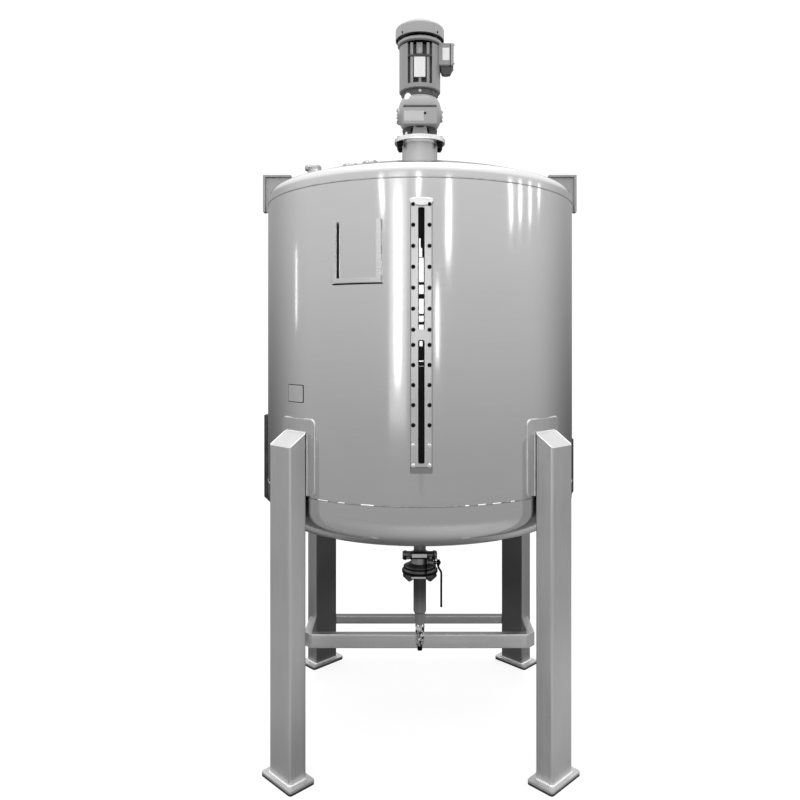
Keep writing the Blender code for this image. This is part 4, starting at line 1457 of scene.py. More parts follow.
@dataclass(frozen=True)
class LegFrame:
    """Four tube legs with pads, base plates and rubber, and the rails between the back legs."""

    azimuths: tuple[tuple[str, float], ...] = (
        ("front_left", 225.0), ("front_right", 315.0), ("back_left", 135.0), ("back_right", 45.0))
    centre: float = 0.7466
    radial: float = 0.08
    tangential: float = 0.14
    corner: float = 0.01
    foot: float = 0.0186
    inner_top: float = 1.378
    outer_top: float = 1.324
    pad: Pair = (0.7003, 0.7063)
    pad_width: float = 0.212
    pad_levels: Pair = (1.13, 1.43)
    pad_corner: float = 0.02
    base: Pair = (0.12, 0.2)
    base_levels: Pair = (0.0083, 0.0183)
    rubber: float = 0.008
    rail_edge: float = 0.005

    def build(self) -> None:
        """Build the four legs and the rails."""
        for name, degrees in self.azimuths:
            self.leg(name, radians(degrees))
        for node, finish in (("cross_rail", RAIL_FRONT), ("back_rail", RAIL_X), ("side_rail_left", RAIL_Y),
                             ("side_rail_right", RAIL_Y)):
            Solid.from_node(node + "_tube", node).round_edges(self.rail_edge, 4, 60.0).dress(finish, node)
        self.rail_welds()

    def slant(self, u: float, _: float = 0.0) -> float:
        """Give the level of the leg's slanted top at a radial offset."""
        share = (u + self.radial / 2) / self.radial
        return self.inner_top + (self.outer_top - self.inner_top) * share

    def leg(self, name: str, azimuth: float) -> None:
        """Build one leg.

        Args:
            name: where it stands.
            azimuth: direction from the tank's axis.
        """
        place = Matrix.Rotation(azimuth, 4, "Z") @ Matrix.Translation((self.centre, 0.0, 0.0))
        section = rounded(self.radial, self.tangential, self.corner, 6)
        Solid("tube_" + name).prism(section, self.foot, self.slant, place).dress(
            SATIN if name.startswith("front") else SHADED_TUBE_BACK, "leg_" + name, smooth=30.0)
        inset = rounded(self.radial - 0.008, self.tangential - 0.008, self.corner - 0.004, 4)
        lid = Solid("tube_lid_" + name).prism(
            inset, lambda u, v: self.slant(u) - 0.004, lambda u, v: self.slant(u) + 0.0015, place)
        lid.round_edges(0.0008, 1, 60.0).dress(PLATE)
        low, high = self.pad_levels
        outline = rounded(self.pad_width, high - low, self.pad_corner, 6)
        Solid("pad_" + name).wrapped(outline, self.pad, azimuth, (low + high) / 2, 20, 0.0015).dress(
            PAD, "leg_pad_" + name)
        plate = rounded(self.base[0], self.base[1], 0.012, 6)
        foot = Solid("base_" + name).prism(plate, *self.base_levels, place)
        foot.round_edges(0.0015, 2, 60.0).dress(PLATE, "base_plate_" + name)
        sole = Solid("sole_" + name).prism(plate, 0.0, self.rubber, place)
        sole.round_edges(0.001, 1, 60.0).dress(RUBBER, "rubber_foot_" + name)
        self.welds(name, azimuth, place)

    def welds(self, name: str, azimuth: float, place: Matrix) -> None:
        """Lay the weld beads of one leg.

        Args:
            name: where the leg stands.
            azimuth: its direction from the tank's axis.
            place: its place.
        """
        low, high = self.pad_levels
        outline = rounded(self.pad_width, high - low, self.pad_corner, 5)
        edge = [polar(azimuth + u / self.pad[1], self.pad[0] + 0.001, (low + high) / 2 + v)
                for u, v in outline]
        bead("pad_weld_" + name, [(densify(edge, WELD_STEP), True)], 0.0034, 0.007)
        cap = rounded(self.radial - 0.004, self.tangential - 0.004, self.corner - 0.002, 4)
        rim = [tuple(place @ Vector((u, v, self.slant(u)))) for u, v in cap]
        bead("cap_weld_" + name, [(densify(rim, WELD_STEP), True)], 0.0024, 0.006, CAP_METAL)
        skirt = rounded(self.radial + 0.004, self.tangential + 0.004, self.corner + 0.002, 5)
        ring = [tuple(place @ Vector((u, v, self.base_levels[1] + 0.0015))) for u, v in skirt]
        bead("foot_weld_" + name, [(densify(ring, WELD_STEP), True)], 0.0042, 0.008, CAP_METAL, 0.2)
        runs = []
        for side in (-1, 1):
            v = side * (self.tangential / 2 + 0.0005)
            runs.append([(-self.radial / 2 - 0.0015, v, level) for level in (low, self.inner_top - 0.004)])
        runs.append([(-self.radial / 2 - 0.0005, v, self.inner_top) for v in (-0.066, 0.066)])
        routes = [densify([tuple(place @ Vector(point)) for point in run], WELD_STEP, False)
                  for run in runs]
        bead("leg_weld_" + name, [(route, False) for route in routes], 0.0034, 0.007)

    def rail_welds(self) -> None:
        """Lay beads round the rails' corner joints."""
        lines = []
        low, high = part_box("cross_rail")
        for side in (-1, 1):
            x = side * (high.x + 0.0002)
            (near, far), (under, over) = ((low[k] + 0.001, high[k] - 0.001) for k in (1, 2))
            corners = [(x, near, under), (x, far, under), (x, far, over), (x, near, over)]
            lines.append((densify(corners, 0.008), True))
        bead("rail_welds", lines, 0.002, 0.005)


@dataclass(frozen=True)
class SideFittings:
    """Lifting ears and the upright bars on both sides of the vessel."""

    edge: float = 0.0025

    def build(self) -> None:
        """Build the ears and the bars."""
        for side in ("left", "right"):
            for name, node, finish in (("ear_", "lifting_ear_", EAR), ("bar_", "side_bar_", SIDE_BAR)):
                piece = Solid.from_node(name + side, node + side).round_edges(self.edge, 3, 50.0)
                piece.dress(finish, node + side)
        lines = [([(side * 0.7005, y, 2.346 + 0.004 * k) for k in range(7)], False)
                 for side in (-1, 1) for y in (-0.0068, 0.0068)]
        bead("ear_welds", lines, 0.0028, 0.006)


@dataclass(frozen=True)
class Nozzles:
    """Three capped nozzles in a row on the left of the top head."""

    names: tuple[str, ...] = ("outer", "middle", "inner")
    places: tuple[float, ...] = (-0.502, -0.324, -0.233)
    clamps: tuple[float, ...] = (0.0385, 0.0385, 0.0365)
    tops: tuple[float, ...] = (2.568, 2.575, 2.589)
    neck: float = 0.0255
    high: float = 0.024

    def build(self, vessel: Vessel) -> None:
        """Build the nozzles.

        Args:
            vessel: the vessel that carries them.
        """
        for name, x, clamp, top in zip(self.names, self.places, self.clamps, self.tops):
            at = (x, 0.0, 0.0)
            foot = min(vessel.top_level(abs(x) + away) for away in (self.neck, -self.neck))
            low = top - self.high
            pipe = [(self.neck, foot), (self.neck, low - 0.006), (clamp - 0.004, low + 0.002),
                    (clamp - 0.004, low + 0.004)]
            cap = [(clamp - 0.012, top - 0.0015), (clamp - 0.009, top - 0.0002),
                   (clamp - 0.0055, top - 0.0002), (clamp - 0.0045, top - 0.003),
                   (clamp - 0.0045, low + 0.005)]
            band = [(clamp - 0.006, low + 0.0015), (clamp - 0.0015, low + 0.0015), (clamp, low + 0.004),
                    (clamp, top - 0.006), (clamp - 0.0015, top - 0.003), (clamp - 0.006, top - 0.003)]
            Solid("nozzle_pipe_" + name).turn(pipe, at=at).dress(NOZZLE, "nozzle_" + name)
            Solid("nozzle_cap_" + name).turn(cap, at=at).dress(BRIGHT)
            clasp = Solid("nozzle_clasp_" + name).turn(band, at=at, closed=True)
            y, level = -clamp - 0.006, (low + top) / 2 - 0.002
            for side in (-1, 1):
                clasp.block((0.006, 0.014, 0.014), (x + side * 0.0055, -clamp - 0.004, level), 0.0012)
            clasp.rod((x - 0.016, y, level), (x + 0.014, y, level), 0.003, steps=16)
            clasp.rod((x - 0.022, y, level), (x - 0.014, y, level), 0.0058, 0.005, 16, 0.001)
            clasp.block((0.004, 0.024, 0.008), (x - 0.0195, y, level), 0.0015)
            clasp.dress(NOZZLE)
            around = [(x + self.neck * cos(a), self.neck * sin(a)) for a in spread(72)]
            ring = [(u, v, vessel.top_level(hypot(u, v))) for u, v in around]
            bead("nozzle_weld_" + name, [(ring, True)], 0.0028, 0.006)


@dataclass(frozen=True)
class Outlet:
    """Neck, clamp, valve, drain pipe and sample cock under the vessel."""

    neck: float = 0.0285
    wall: float = 0.002
    clamp_levels: Pair = (0.729, 0.75)
    lug_levels: Pair = (0.7262, 0.742)
    ring: float = 0.0425
    lug_x: float = 0.0815
    lug_deep: float = 0.04
    body_top: float = 0.7162
    stem: float = 0.7
    pipe_low: float = 0.415
    crumple_seed: int = 7

    def build(self) -> None:
        """Build the outlet from the head down."""
        low, high = (corner.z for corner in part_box("outlet_neck"))
        bore = self.neck - self.wall
        Solid("outlet_pipe").turn(wall(self.neck, bore, low, high), closed=True).dress(DARK, "outlet_neck")
        bead("outlet_weld", [(circle(self.neck, high - 0.001, 64), True)], 0.003, 0.006, SEAM_METAL)
        self.clamp()
        self.body()
        self.pipe()

    def clamp(self) -> None:
        """Build the two-bolt clamp."""
        low, high = self.clamp_levels
        ring = self.ring
        band = [(0.027, low), (ring - 0.003, low), (ring, low + 0.003), (ring, high - 0.002),
                (ring - 0.002, high), (self.neck + 0.003, high), (self.neck + 0.002, high + 0.006),
                (0.027, high + 0.006)]
        Solid("clamp_ring").turn(band, closed=True).dress(THROAT, "outlet_clamp")
        lugs = Solid("clamp_lugs")
        for side in (-1, 1):
            x = side * (self.lug_x + self.ring - 0.008) / 2
            for level in self.lug_levels:
                lugs.block((self.lug_x - self.ring + 0.008, self.lug_deep, 0.0148), (x, 0.0, level), 0.003)
        lugs.dress(DARK)
        # Painted shade: black lips along the front give the dark lines above and below the clamp band.
        lips = Solid("clamp_shade_lips")
        for level, right in ((low + 0.003, 0.045), (high + 0.0065, 0.062)):
            lips.span((-0.045, -ring - 0.0045, level - 0.0033),
                      (right, -ring + 0.012, level + 0.0033), 0.0012)
        lips.dress(BLACKED)
        middle = (low + high) / 2 + 0.004
        under, over = self.lug_levels
        ends = [((x, 0.0, level), aim) for x in (-0.069, 0.069)
                for level, aim in ((over + 0.0072, UP), (under - 0.0072, DOWN))]
        screws("clamp_bolts", ends, 0.0085, 0.005, 0.01, DARK)
        fronts = [((x, -self.lug_deep / 2, under), FRONT) for x in (-0.07, 0.064)]
        screws("clamp_nuts", fronts, 0.007, 0.004, 0.008)
        plate = Solid("clamp_front_plate").span(
            (-0.037, -ring - 0.0035, middle - 0.0092), (0.033, -ring + 0.02, middle + 0.0092), 0.0015)
        plate.dress(PLATE)
        wire = [(0.063, -0.0225, 0.752), (0.0655, -0.0235, 0.735), (0.069, -0.022, 0.715),
                (0.073, -0.018, 0.696)]
        Solid("clamp_wire").sweep(spline(wire, 6), 0.0026).dress(BLACKED, smooth=50.0)

    def body(self) -> None:
        """Build the valve's body: bowl, flanges with black bands of painted shade for their gaps, and the nut
        under them.
        """
        top = self.body_top
        bowl = [(0.044, top - 0.0145), (0.056, top - 0.019), (0.069, top - 0.026),
                (0.076, top - 0.039), (0.0812, top - 0.05)]
        Solid("valve_bowl").turn(bowl).round_edges(0.0012, 2, 12.0).dress(VALVE, "valve_body")
        throat = [(0.041, top + 0.0125), (0.044, top - 0.0143)]
        Solid("valve_throat").turn(throat).dress(THROAT)
        # Painted shade: black bands stand in for the dark gaps between the flanges.
        bands = Solid("valve_gap_shadows")
        for level, width, radius in ((top - 0.0362, 0.0062, 0.0768), (top - 0.057, 0.0105, 0.084)):
            bands.turn(drum(radius, level, level + width))
        bands.dress(BLACKED)
        collar = drum(0.079, top - 0.0575, top - 0.0682)
        Solid("valve_collar").turn(collar, 8).round_edges(0.0018, 2, 20.0).dress(VALVE, smooth=20.0)
        wings = Solid("valve_wings")
        for side in (-1, 1):
            outline = [(side * 0.029, top - 0.0685), (side * 0.079, top - 0.0685), (side * 0.08, top - 0.072),
                       (side * 0.053, top - 0.097), (side * 0.045, top - 0.0975), (side * 0.029, top - 0.086)]
            wings.prism(outline, -0.03, 0.03, FRONTAL)
        wings.round_edges(0.0018, 2, 20.0).dress(WING, smooth=20.0)
        Solid("valve_spout").turn(drum(0.03, top - 0.1035, top - 0.0685)).dress(DRAIN)
        # Painted highlight: a light plate on the collar's front gives the light band across the nut.
        Solid("valve_collar_highlight").span(
            (-0.04, -0.0805, top - 0.0677), (0.031, -0.06, top - 0.0586), 0.0012).dress(PLATE)
        rib = [(-0.085, top - 0.068), (-0.085, top - 0.046), (-0.076, top - 0.029), (-0.06, top - 0.016),
               (-0.048, top + 0.012), (-0.03, top + 0.012), (-0.03, top - 0.068)]
        Solid("valve_rib").prism(rib, 0.028, 0.0325, ON_EDGE).round_edges(0.0008).dress(BLACKED)
        z = self.stem
        boss = Solid("valve_stem_boss").rod((0.036, 0.0, z), (0.064, 0.0, z), 0.019, 0.0175, 32, 0.0015)
        boss.rod((0.06, 0.0, z), (0.079, 0.0, z), 0.0085, steps=24).dress(DARK)

    def pipe(self) -> None:
        """Build the drain pipe, the sample cock and its tip."""
        run = [(0.03, 0.6122), (0.03, 0.474), (0.027, 0.4665), (0.0235, 0.4655),
               (0.0235, self.pipe_low)]
        Solid("drain_tube").turn(run).round_edges(0.0008, 2, 25.0).dress(DRAIN, "drain_pipe")
        sides = [(0.0205 + 0.003 * k / 9, 0.319 + 0.0098 * k) for k in range(10)]
        rings = [(0.015, 0.311), *sides, (0.016, 0.4147)]
        cock = Solid("cock_body").turn(rings, 13)
        draw = random.Random(self.crumple_seed)
        for vert in cock.form.verts:
            if 0.315 < vert.co.z < 0.41:
                vert.co.xy *= draw.uniform(0.8, 1.02)
                vert.co.z += draw.uniform(-0.0035, 0.0035)
        cock.dress(CHROME, "sample_cock", smooth=12.0, weighted=False)
        tip = [(0.0115, 0.3107), (0.012, 0.309), (0.012, 0.29), (0.011, 0.288), (0.008, 0.288),
               (0.008, 0.298)]
        Solid("cock_tip").turn(tip, SMALL).dress(BLACKED, "drain_tip")


@dataclass(frozen=True)
class ValveLever:
    """Hand lever on the valve's stem, which swings up out of the way."""

    level: float = 0.7
    hub: float = 0.0138
    hub_x: Pair = (0.0798, 0.0945)
    knob: float = 0.007
    knob_end: float = 0.0985
    rod: float = 0.005
    rod_x: float = 0.101
    bend: float = 0.66
    end: float = 0.4945
    ball: float = 0.006

    def build(self) -> None:
        """Build the hub, its screw and the bent rod."""
        near, far = self.hub_x
        z = self.level
        wheel = Solid("lever_hub").rod((near, 0.0, z), (far, 0.0, z), self.hub, chamfer=0.0012)
        wheel.dress(BLACKED, "valve_lever", Body.LEVER)
        knob = Solid("lever_screw").rod(
            (far - 0.0002, 0.0, z), (self.knob_end, 0.0, z), self.knob, steps=6, chamfer=0.001)
        knob.dress(BLACKED, body=Body.LEVER)
        bends = [(0.085, z - 0.008), (0.086, z - 0.016), (0.0895, z - 0.026), (0.0945, z - 0.035),
                 (self.rod_x, self.bend - 0.01), (self.rod_x, 0.6), (self.rod_x, self.end)]
        route = spline([(x, 0.0, level) for x, level in bends], 8)
        Solid("lever_rod").sweep(route, self.rod).dress(BLACKED, body=Body.LEVER, smooth=50.0)
        ball = [(self.ball * sin(a), self.ball * -cos(a))
                for a in (pi * k / 12 for k in range(13))]
        Solid("lever_ball").turn(ball, 24, at=(self.rod_x, 0.0, self.end)).dress(
            BLACKED, body=Body.LEVER, smooth=60.0)


@dataclass(frozen=True)
class DriveMount:
    """Tube and flange that carry the drive, with their bolts, and the lantern above them."""

    tube: float = 0.0825
    wall: float = 0.004
    tube_top: float = 2.6664
    flange: float = 0.1185
    flange_levels: Pair = (2.6667, 2.687)
    flange_bore: float = 0.06
    bolt_circle: float = 0.101
    bolts: tuple[float, ...] = (24.0, 156.0, 204.0, 336.0)
    lantern: float = 0.082
    lantern_levels: Pair = (2.6873, 2.733)
    plate: float = 0.009
    core: float = 0.036

    def build(self, vessel: Vessel) -> None:
        """Build the mount.

        Args:
            vessel: the vessel that carries it.
        """
        foot = vessel.top_level(self.tube) + GAP
        bore = self.tube - self.wall
        Solid("mount_pipe").turn(wall(self.tube, bore, foot, self.tube_top), closed=True).dress(
            TUBE, "mount_tube")
        for name, level, radius, pitch in (("mount_weld", foot + 0.001, 0.0034, 0.007),
                                           ("mount_flange_weld", self.tube_top - 0.001, 0.003, 0.006)):
            bead(name, [(circle(self.tube + 0.001, level, MEDIUM), True)], radius, pitch)
        low, high = self.flange_levels
        ring = disc(self.flange, low, high, bore=self.flange_bore)
        Solid("mount_ring").turn(ring, closed=True).dress(RING, "mount_flange")
        angles, radius = [radians(degrees) for degrees in self.bolts], self.bolt_circle
        screws("mount_nuts", upright(angles, radius, low, DOWN), 0.015, 0.015, 0.0165, washer_height=0.002)
        tips = upright(angles, radius, low - 0.014, DOWN)
        screws("mount_bolt_tips", tips, 0.01, 0.009, 0.009, BLACKED, 16, 0.001)
        screws("mount_bolt_heads", upright(angles, radius, high), 0.0138, 0.006, 0.015, DARK, 6, 0.001)
        self.build_lantern()

    def build_lantern(self) -> None:
        """Build the open piece between the flange and the gearbox."""
        low, high = self.lantern_levels
        top, outer = self.plate, self.lantern
        plates = Solid("lantern_plates")
        for base in (low, high - top):
            plates.turn(disc(outer, base, base + top, 0.0015))
        plates.dress(CAST_AND_SHADE, "lantern")
        posts = Solid("lantern_posts")
        for side in (-1, 1):
            arc, inner = (
                [polar(radians(turn * (-58 + 116 * k / 16)), radius)[:2] for k in range(17)]
                for radius, turn in ((0.08, 1), (0.066, -1)))
            place = Matrix.Rotation(0.0 if side > 0 else pi, 4, "Z")
            posts.prism(arc + inner, low + top - 0.0002, high - top + 0.0002, place)
        posts.dress(CAST_AND_SHADE)
        web = [(-0.036, low + top - 0.004), (0.036, low + top - 0.004), (0.029, high - 0.0005),
               (-0.029, high - 0.0005)]
        Solid("lantern_web").prism(web, 0.066, 0.08, FRONTAL).round_edges(0.001).dress(PAINT)
        plug = radial([radians(-140.0)], 0.0795, low + 0.017)
        screws("lantern_plug", plug, 0.0075, 0.004, 0.0085, RING, 6, 0.001)
        shaft = [(0.044, low + top), (0.044, low + top + 0.01),
                 (self.core, low + top + 0.012), (self.core, high - top)]
        Solid("lantern_core").turn(shaft).dress(PLATE)


@dataclass(frozen=True)
class Gearbox:
    """Cast gearbox with a rounded barrel over a squared lower half."""

    barrel: Profile = (
        (0.0795, 2.8793), (0.0815, 2.878), (0.087, 2.8705), (0.093, 2.86), (0.0972, 2.846),
        (0.0998, 2.83), (0.1008, 2.812), (0.1006, 2.798), (0.0985, 2.783), (0.0945, 2.764), (0.086, 2.748),
        (0.08, 2.744))
    half_x: float = 0.078
    depth: Pair = (-0.105, 0.092)
    levels: Pair = (2.7333, 2.812)
    edge: float = 0.006
    cover_level: float = 2.8
    vent: Triple = (-0.054, -0.066, 2.869)
    plate: Window = (-0.0728, 0.0184, 2.747, 2.793)

    def build(self) -> None:
        """Build the housing, covers, bare plate and screws."""
        front, back = self.depth
        low, high = self.levels
        Solid("gear_barrel").turn(self.barrel).dress(COWL, "gearbox")
        block = Solid("gear_block").span((-self.half_x, front, low), (self.half_x, back, high), self.edge, 4)
        block.dress(COWL)
        turned = Vector((-0.62, -0.78, 0.12)).normalized()
        start = Vector(self.vent) - 0.006 * turned
        vent = Solid("gear_vent").rod(start, start + 0.013 * turned, 0.0205, 0.0185, 32, 0.002)
        vent.dress(RING)
        shade = Solid("gear_shade_lines")
        half = self.half_x - 0.002
        shade.span((-half, front - 0.0006, high - 0.0005), (half, front + 0.05, high + 0.0075))
        shade.dress(DARK_PAINT)
        for side, radius, reach in ((-1, 0.042, 0.105), (1, 0.0315, 0.103)):
            z = self.cover_level
            name = "left" if side < 0 else "right"
            lid = Solid("gear_cover_" + name).rod(
                (side * 0.085, 0.0, z), (side * reach, 0.0, z), radius, 0.9 * radius, 64, 0.0015)
            lid.dress(COWL)
            away = 0.74 * radius
            ring = [((side * reach, away * cos(a), z + away * sin(a)), (float(side), 0.0, 0.0))
                    for a in spread(6, 30)]
            screws("gear_cover_screws_" + name, ring, 0.0042, 0.003, 0.005, washer_height=0.0006)
        x0, x1, z0, z1 = self.plate
        label = Solid("gear_label").span((x0, front - 0.0012, z0), (x1, front + 0.002, z1), 0.0005, 1)
        label.dress(DULL_BLANK)
        label_rivets("gear_label_rivets", self.plate, front - 0.0012)
        screws("gear_plugs", [((0.023, front, 2.782), FRONT)], 0.005, 0.003, 0.0058, washer_height=0.0008)
        corners = [((x, y, high), UP) for x in (-0.066, 0.066) for y in (front + 0.012, back - 0.012)]
        screws("gear_block_screws", corners, 0.0062, 0.006, 0.0072, washer_height=0.001)


@dataclass(frozen=True)
class Motor:
    """Upright motor with a finned recess, a cowl over its fan and a terminal box."""

    flange: Triple = (0.0825, 2.8796, 2.907)
    radius: float = 0.0963
    levels: Pair = (2.9073, 3.1155)
    recess: Triple = (0.056, 2.927, 3.14)
    recess_deep: float = 0.034
    ring: Triple = (0.1045, 3.125, 3.1405)
    cowl: float = 0.114
    cowl_skirt: float = 0.0035
    cowl_low: float = 3.1516
    shoulder: float = 3.208
    crown: float = 0.062
    top: float = 3.235
    plate: Window = (-0.0272, 0.025, 2.9537, 3.0466)
    box: tuple[Triple, Triple] = ((0.0852, -0.045, 3.0254), (0.1578, 0.045, 3.129))
    box_plate: Window = (0.105, 0.1368, 3.0467, 3.105)
    gland_x: float = 0.127

    def build(self) -> None:
        """Build the motor from its flange up."""
        radius, low, high = self.flange
        Solid("motor_disc").turn(disc(radius, low, high)).dress(DARK_PAINT, "motor_flange")
        places = radial(spread(8, -90), radius - 0.0008, (low + high) / 2)
        # Painted highlight and shade: the front screw gets light metal and the other seven dark metal, though
        # all are alike.
        screws("motor_disc_screw_lit", places[:1], 0.006, 0.004, 0.007, PLATE, 6, 0.001)
        screws("motor_disc_screws_shaded", places[1:], 0.006, 0.004, 0.007, DARK, 6, 0.001)
        self.housing()
        self.hood()
        self.terminals()

    def housing(self) -> None:
        """Build the body with its recess, fins and bare plate."""
        low, high = self.levels
        radius = self.radius
        profile = [(radius - 0.0025, low), (radius, low + 0.0025), (radius, high)]
        half, base, top = self.recess
        deep = self.recess_deep
        tool = Solid("recess_tool")
        body = Solid("motor_housing").turn(profile)
        for side in (-1, 1):
            face = side * (radius - deep)
            tool.span((-half, min(face, side * 0.12), base), (half, max(face, side * 0.12), top), 0.004, 3)
        body.cut(tool).dress(PAINT, "motor_body")
        sides = [(0.0, side * (radius - deep + 0.008), (base + high) / 2) for side in (-1, 1)]
        FINS.make("motor_fins", point_mesh([(place, UP) for place in sides]), PAINT, {
            "Count": 3, "Spread": 0.075, "Thickness": 0.0125, "Depth": 0.026, "Height": high - base - 0.004})
        # Painted shade: a near-black sheet lines the recess behind the fins.
        floor = Solid("motor_recess_shade_sheet")
        for side in (-1, 1):
            y = side * (radius - deep + 0.0015)
            floor.span((-half + 0.001, y - 0.0015, base + 0.001), (half - 0.001, y + 0.0015, high - 0.001))
        floor.dress(CAST_AND_SHADE)
        x0, x1, z0, z1 = self.plate
        y = -radius + 0.009
        Solid("motor_label").span((x0, y - 0.0012, z0), (x1, y + 0.004, z1), 0.0006, 1).dress(BLANK)
        bridge = Solid("motor_label_bridge").span(
            (-half + 0.001, y + 0.002, z1 + 0.002), (half - 0.001, y + 0.012, z1 + 0.013))
        bridge.round_edges(0.0015).dress(CAST_AND_SHADE)
        clip = Solid("motor_clip").span(
            (-0.016, y + 0.003, z1 + 0.015), (0.012, y + 0.02, high - 0.001), 0.002)
        clip.dress(PAINT)
        face = Solid("motor_clip_face").span(
            (-0.0085, y - 0.001, z1 + 0.017), (0.009, y + 0.006, z1 + 0.042), 0.002)
        face.dress(COWL)
        label_rivets("motor_label_rivets", self.plate, y - 0.0012)

    def hood(self) -> None:
        """Build the end ring, the fan cowl and its grille."""
        radius, low, high = self.ring
        Solid("motor_end_ring").turn(disc(radius, low, high, top_edge=0.003)).dress(COWL)
        # Painted shadow: a black neck between the end ring and the body reads as the shadow gap under the
        # ring.
        Solid("motor_neck_shadow").turn(drum(0.086, low - 0.008, high + 0.016)).dress(BLACKED)
        outer, skin = self.cowl, self.cowl_skirt
        edge = self.shoulder
        curve = [(outer, self.cowl_low), (outer, edge - 0.012), (outer - 0.0015, edge - 0.006),
                 (outer - 0.0045, edge - 0.0015), (outer - 0.009, edge + 0.002),
                 (self.crown + 0.006, self.top - 0.0035), (self.crown, self.top)]
        inside = [(self.crown - 0.004, self.top - skin), (outer - 0.012, edge - 0.004),
                  (outer - skin, edge - 0.012), (outer - skin, self.cowl_low)]
        section = curve + [(0.0, self.top), (0.0, self.top - skin)] + inside
        Solid("cowl_skin").turn(section, closed=True).dress(COWL, "fan_cowl", smooth=30.0)
        slots = upright(spread(30), 0.05, self.top) + upright(spread(18), 0.034, self.top)
        screws("cowl_perforations", slots, 0.0028, 0.0002, 0.0026, BLACKED, 12, 0.0001)
        fixings = radial(spread(4, -45), outer, self.cowl_low + 0.01)
        screws("cowl_screws", fixings, 0.0036, 0.0024, 0.0045, washer_height=0.0006)

    def terminals(self) -> None:
        """Build the terminal box, its lid and its gland."""
        low, high = Vector(self.box[0]), Vector(self.box[1])
        joint = high.x - 0.016
        neck = Solid("terminal_neck").span(
            (0.07, low.y + 0.012, low.z + 0.01), (low.x + 0.006, high.y - 0.012, high.z - 0.01))
        neck.round_edges(0.002).dress(PAINT)
        case = Solid("terminal_case").span(tuple(low), (joint - 0.0008, high.y, high.z), 0.005, 4)
        case.dress(PAINT, "terminal_box")
        Solid("terminal_lid").span((joint + 0.0008, low.y, low.z), tuple(high), 0.005, 4).dress(COWL)
        seal = Solid("terminal_seal").span((joint - 0.003, low.y + 0.0025, low.z + 0.0025),
                                           (joint + 0.003, high.y - 0.0025, high.z - 0.0025))
        seal.dress(RUBBER)
        corners = [((high.x, y, z), (1.0, 0.0, 0.0))
                   for y in (-0.037, 0.037) for z in (low.z + 0.009, high.z - 0.009)]
        screws("terminal_screws", corners, 0.0036, 0.0024, 0.0042, BLACKED, 12, 0.0005)
        x0, x1, z0, z1 = self.box_plate
        Solid("terminal_label").span((x0, low.y - 0.001, z0), (x1, low.y + 0.002, z1), 0.0004, 1).dress(BLANK)
        foot, base = (corner.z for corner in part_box("cable_gland"))
        foot += 0.013
        hub = Solid("gland_hub").span(
            (self.gland_x - 0.033, -0.03, foot + 0.004), (self.gland_x + 0.03, 0.03, base), 0.005, 3)
        hub.taper((self.gland_x - 0.004, 0.0), (base, foot + 0.004), 0.6).dress(GLAND, "cable_gland")
        collar = [(0.0185, foot + 0.012), (0.0185, foot + 0.004), (0.0165, foot + 0.002)]
        Solid("gland_collar").turn(collar, 6, at=(self.gland_x - 0.004, 0.0, 0.0)).dress(GLAND)


# ---- studio


def panel(name: str, place: Matrix, size: Pair, radiance: float) -> None:
    """Add a flat area light.

    Args:
        name: the light's name.
        place: its place; it shines along its own -Z.
        size: width and height.
        radiance: brightness of its surface.
    """
    lamp = bpy.data.lights.new(name, "AREA")
    lamp.shape = "RECTANGLE"
    lamp.size, lamp.size_y = size
    lamp.energy = radiance * pi * size[0] * size[1]
    holder = stand(name, lamp)
    holder.matrix_world = place
    holder.visible_camera = False


def flat(name: str, corners: Sequence[Triple], material: str, **plain: Any) -> tuple[Object, Tree, Any]:
    """Put flat four-cornered faces in the scene as one piece of the studio.

    Args:
        name: the piece's name.
        corners: corners of every face, four by four.
        material: name of its material.
        plain: values of the shader by input name, with _ for a space.

    Returns:
        The object, its material's tree and its shader's inputs.
    """
    mesh = bpy.data.meshes.new(name)
    mesh.from_pydata(corners, [], [tuple(range(k, k + 4)) for k in range(0, len(corners), 4)])
    made = bpy.data.materials.new(material)
    made.use_nodes = True
    shader = made.node_tree.nodes["Principled BSDF"].inputs
    for label, value in plain.items():
        shader[label.replace("_", " ")].default_value = value
    mesh.materials.append(made)
    return stand(name, mesh), made.node_tree, shader


@dataclass(frozen=True)
class StripLight:
    """Upright light that only shows in reflections."""

    azimuth: float
    low: float
    high: float
    width: float
    radiance: float
    distance: float = 5.0
    lean: float = 0.0

    def place(self, number: int) -> None:
        """Add the light to the scene, facing the tank's axis.

        Args:
            number: its number among the lights.
        """
        angle = radians(self.azimuth)
        middle = (self.low + self.high) / 2
        spot = Vector((self.distance * sin(angle), -self.distance * cos(angle), middle))
        face = Vector((spot.x, spot.y, 0.0)).to_track_quat("Z", "Y").to_matrix().to_4x4()
        place = Matrix.Translation(spot) @ face @ Matrix.Rotation(radians(self.lean), 4, "Z")
        panel("strip_%02d" % number, place, (self.width, self.high - self.low), self.radiance)


@dataclass(frozen=True)
class WindowCard:
    """Small bright window behind the camera that the panes and the polished front mirror."""

    low: float
    high: float
    x: float = 0.05
    width: float = 0.074
    radiance: float = 45.0
    y: float = -5.722

    def place(self, number: int) -> None:
        """Add the card's light to the scene."""
        spot = Matrix.Translation((self.x, self.y, (self.low + self.high) / 2)) @ FRONTAL
        panel("card_%d" % number, spot, (self.width, self.high - self.low), self.radiance)


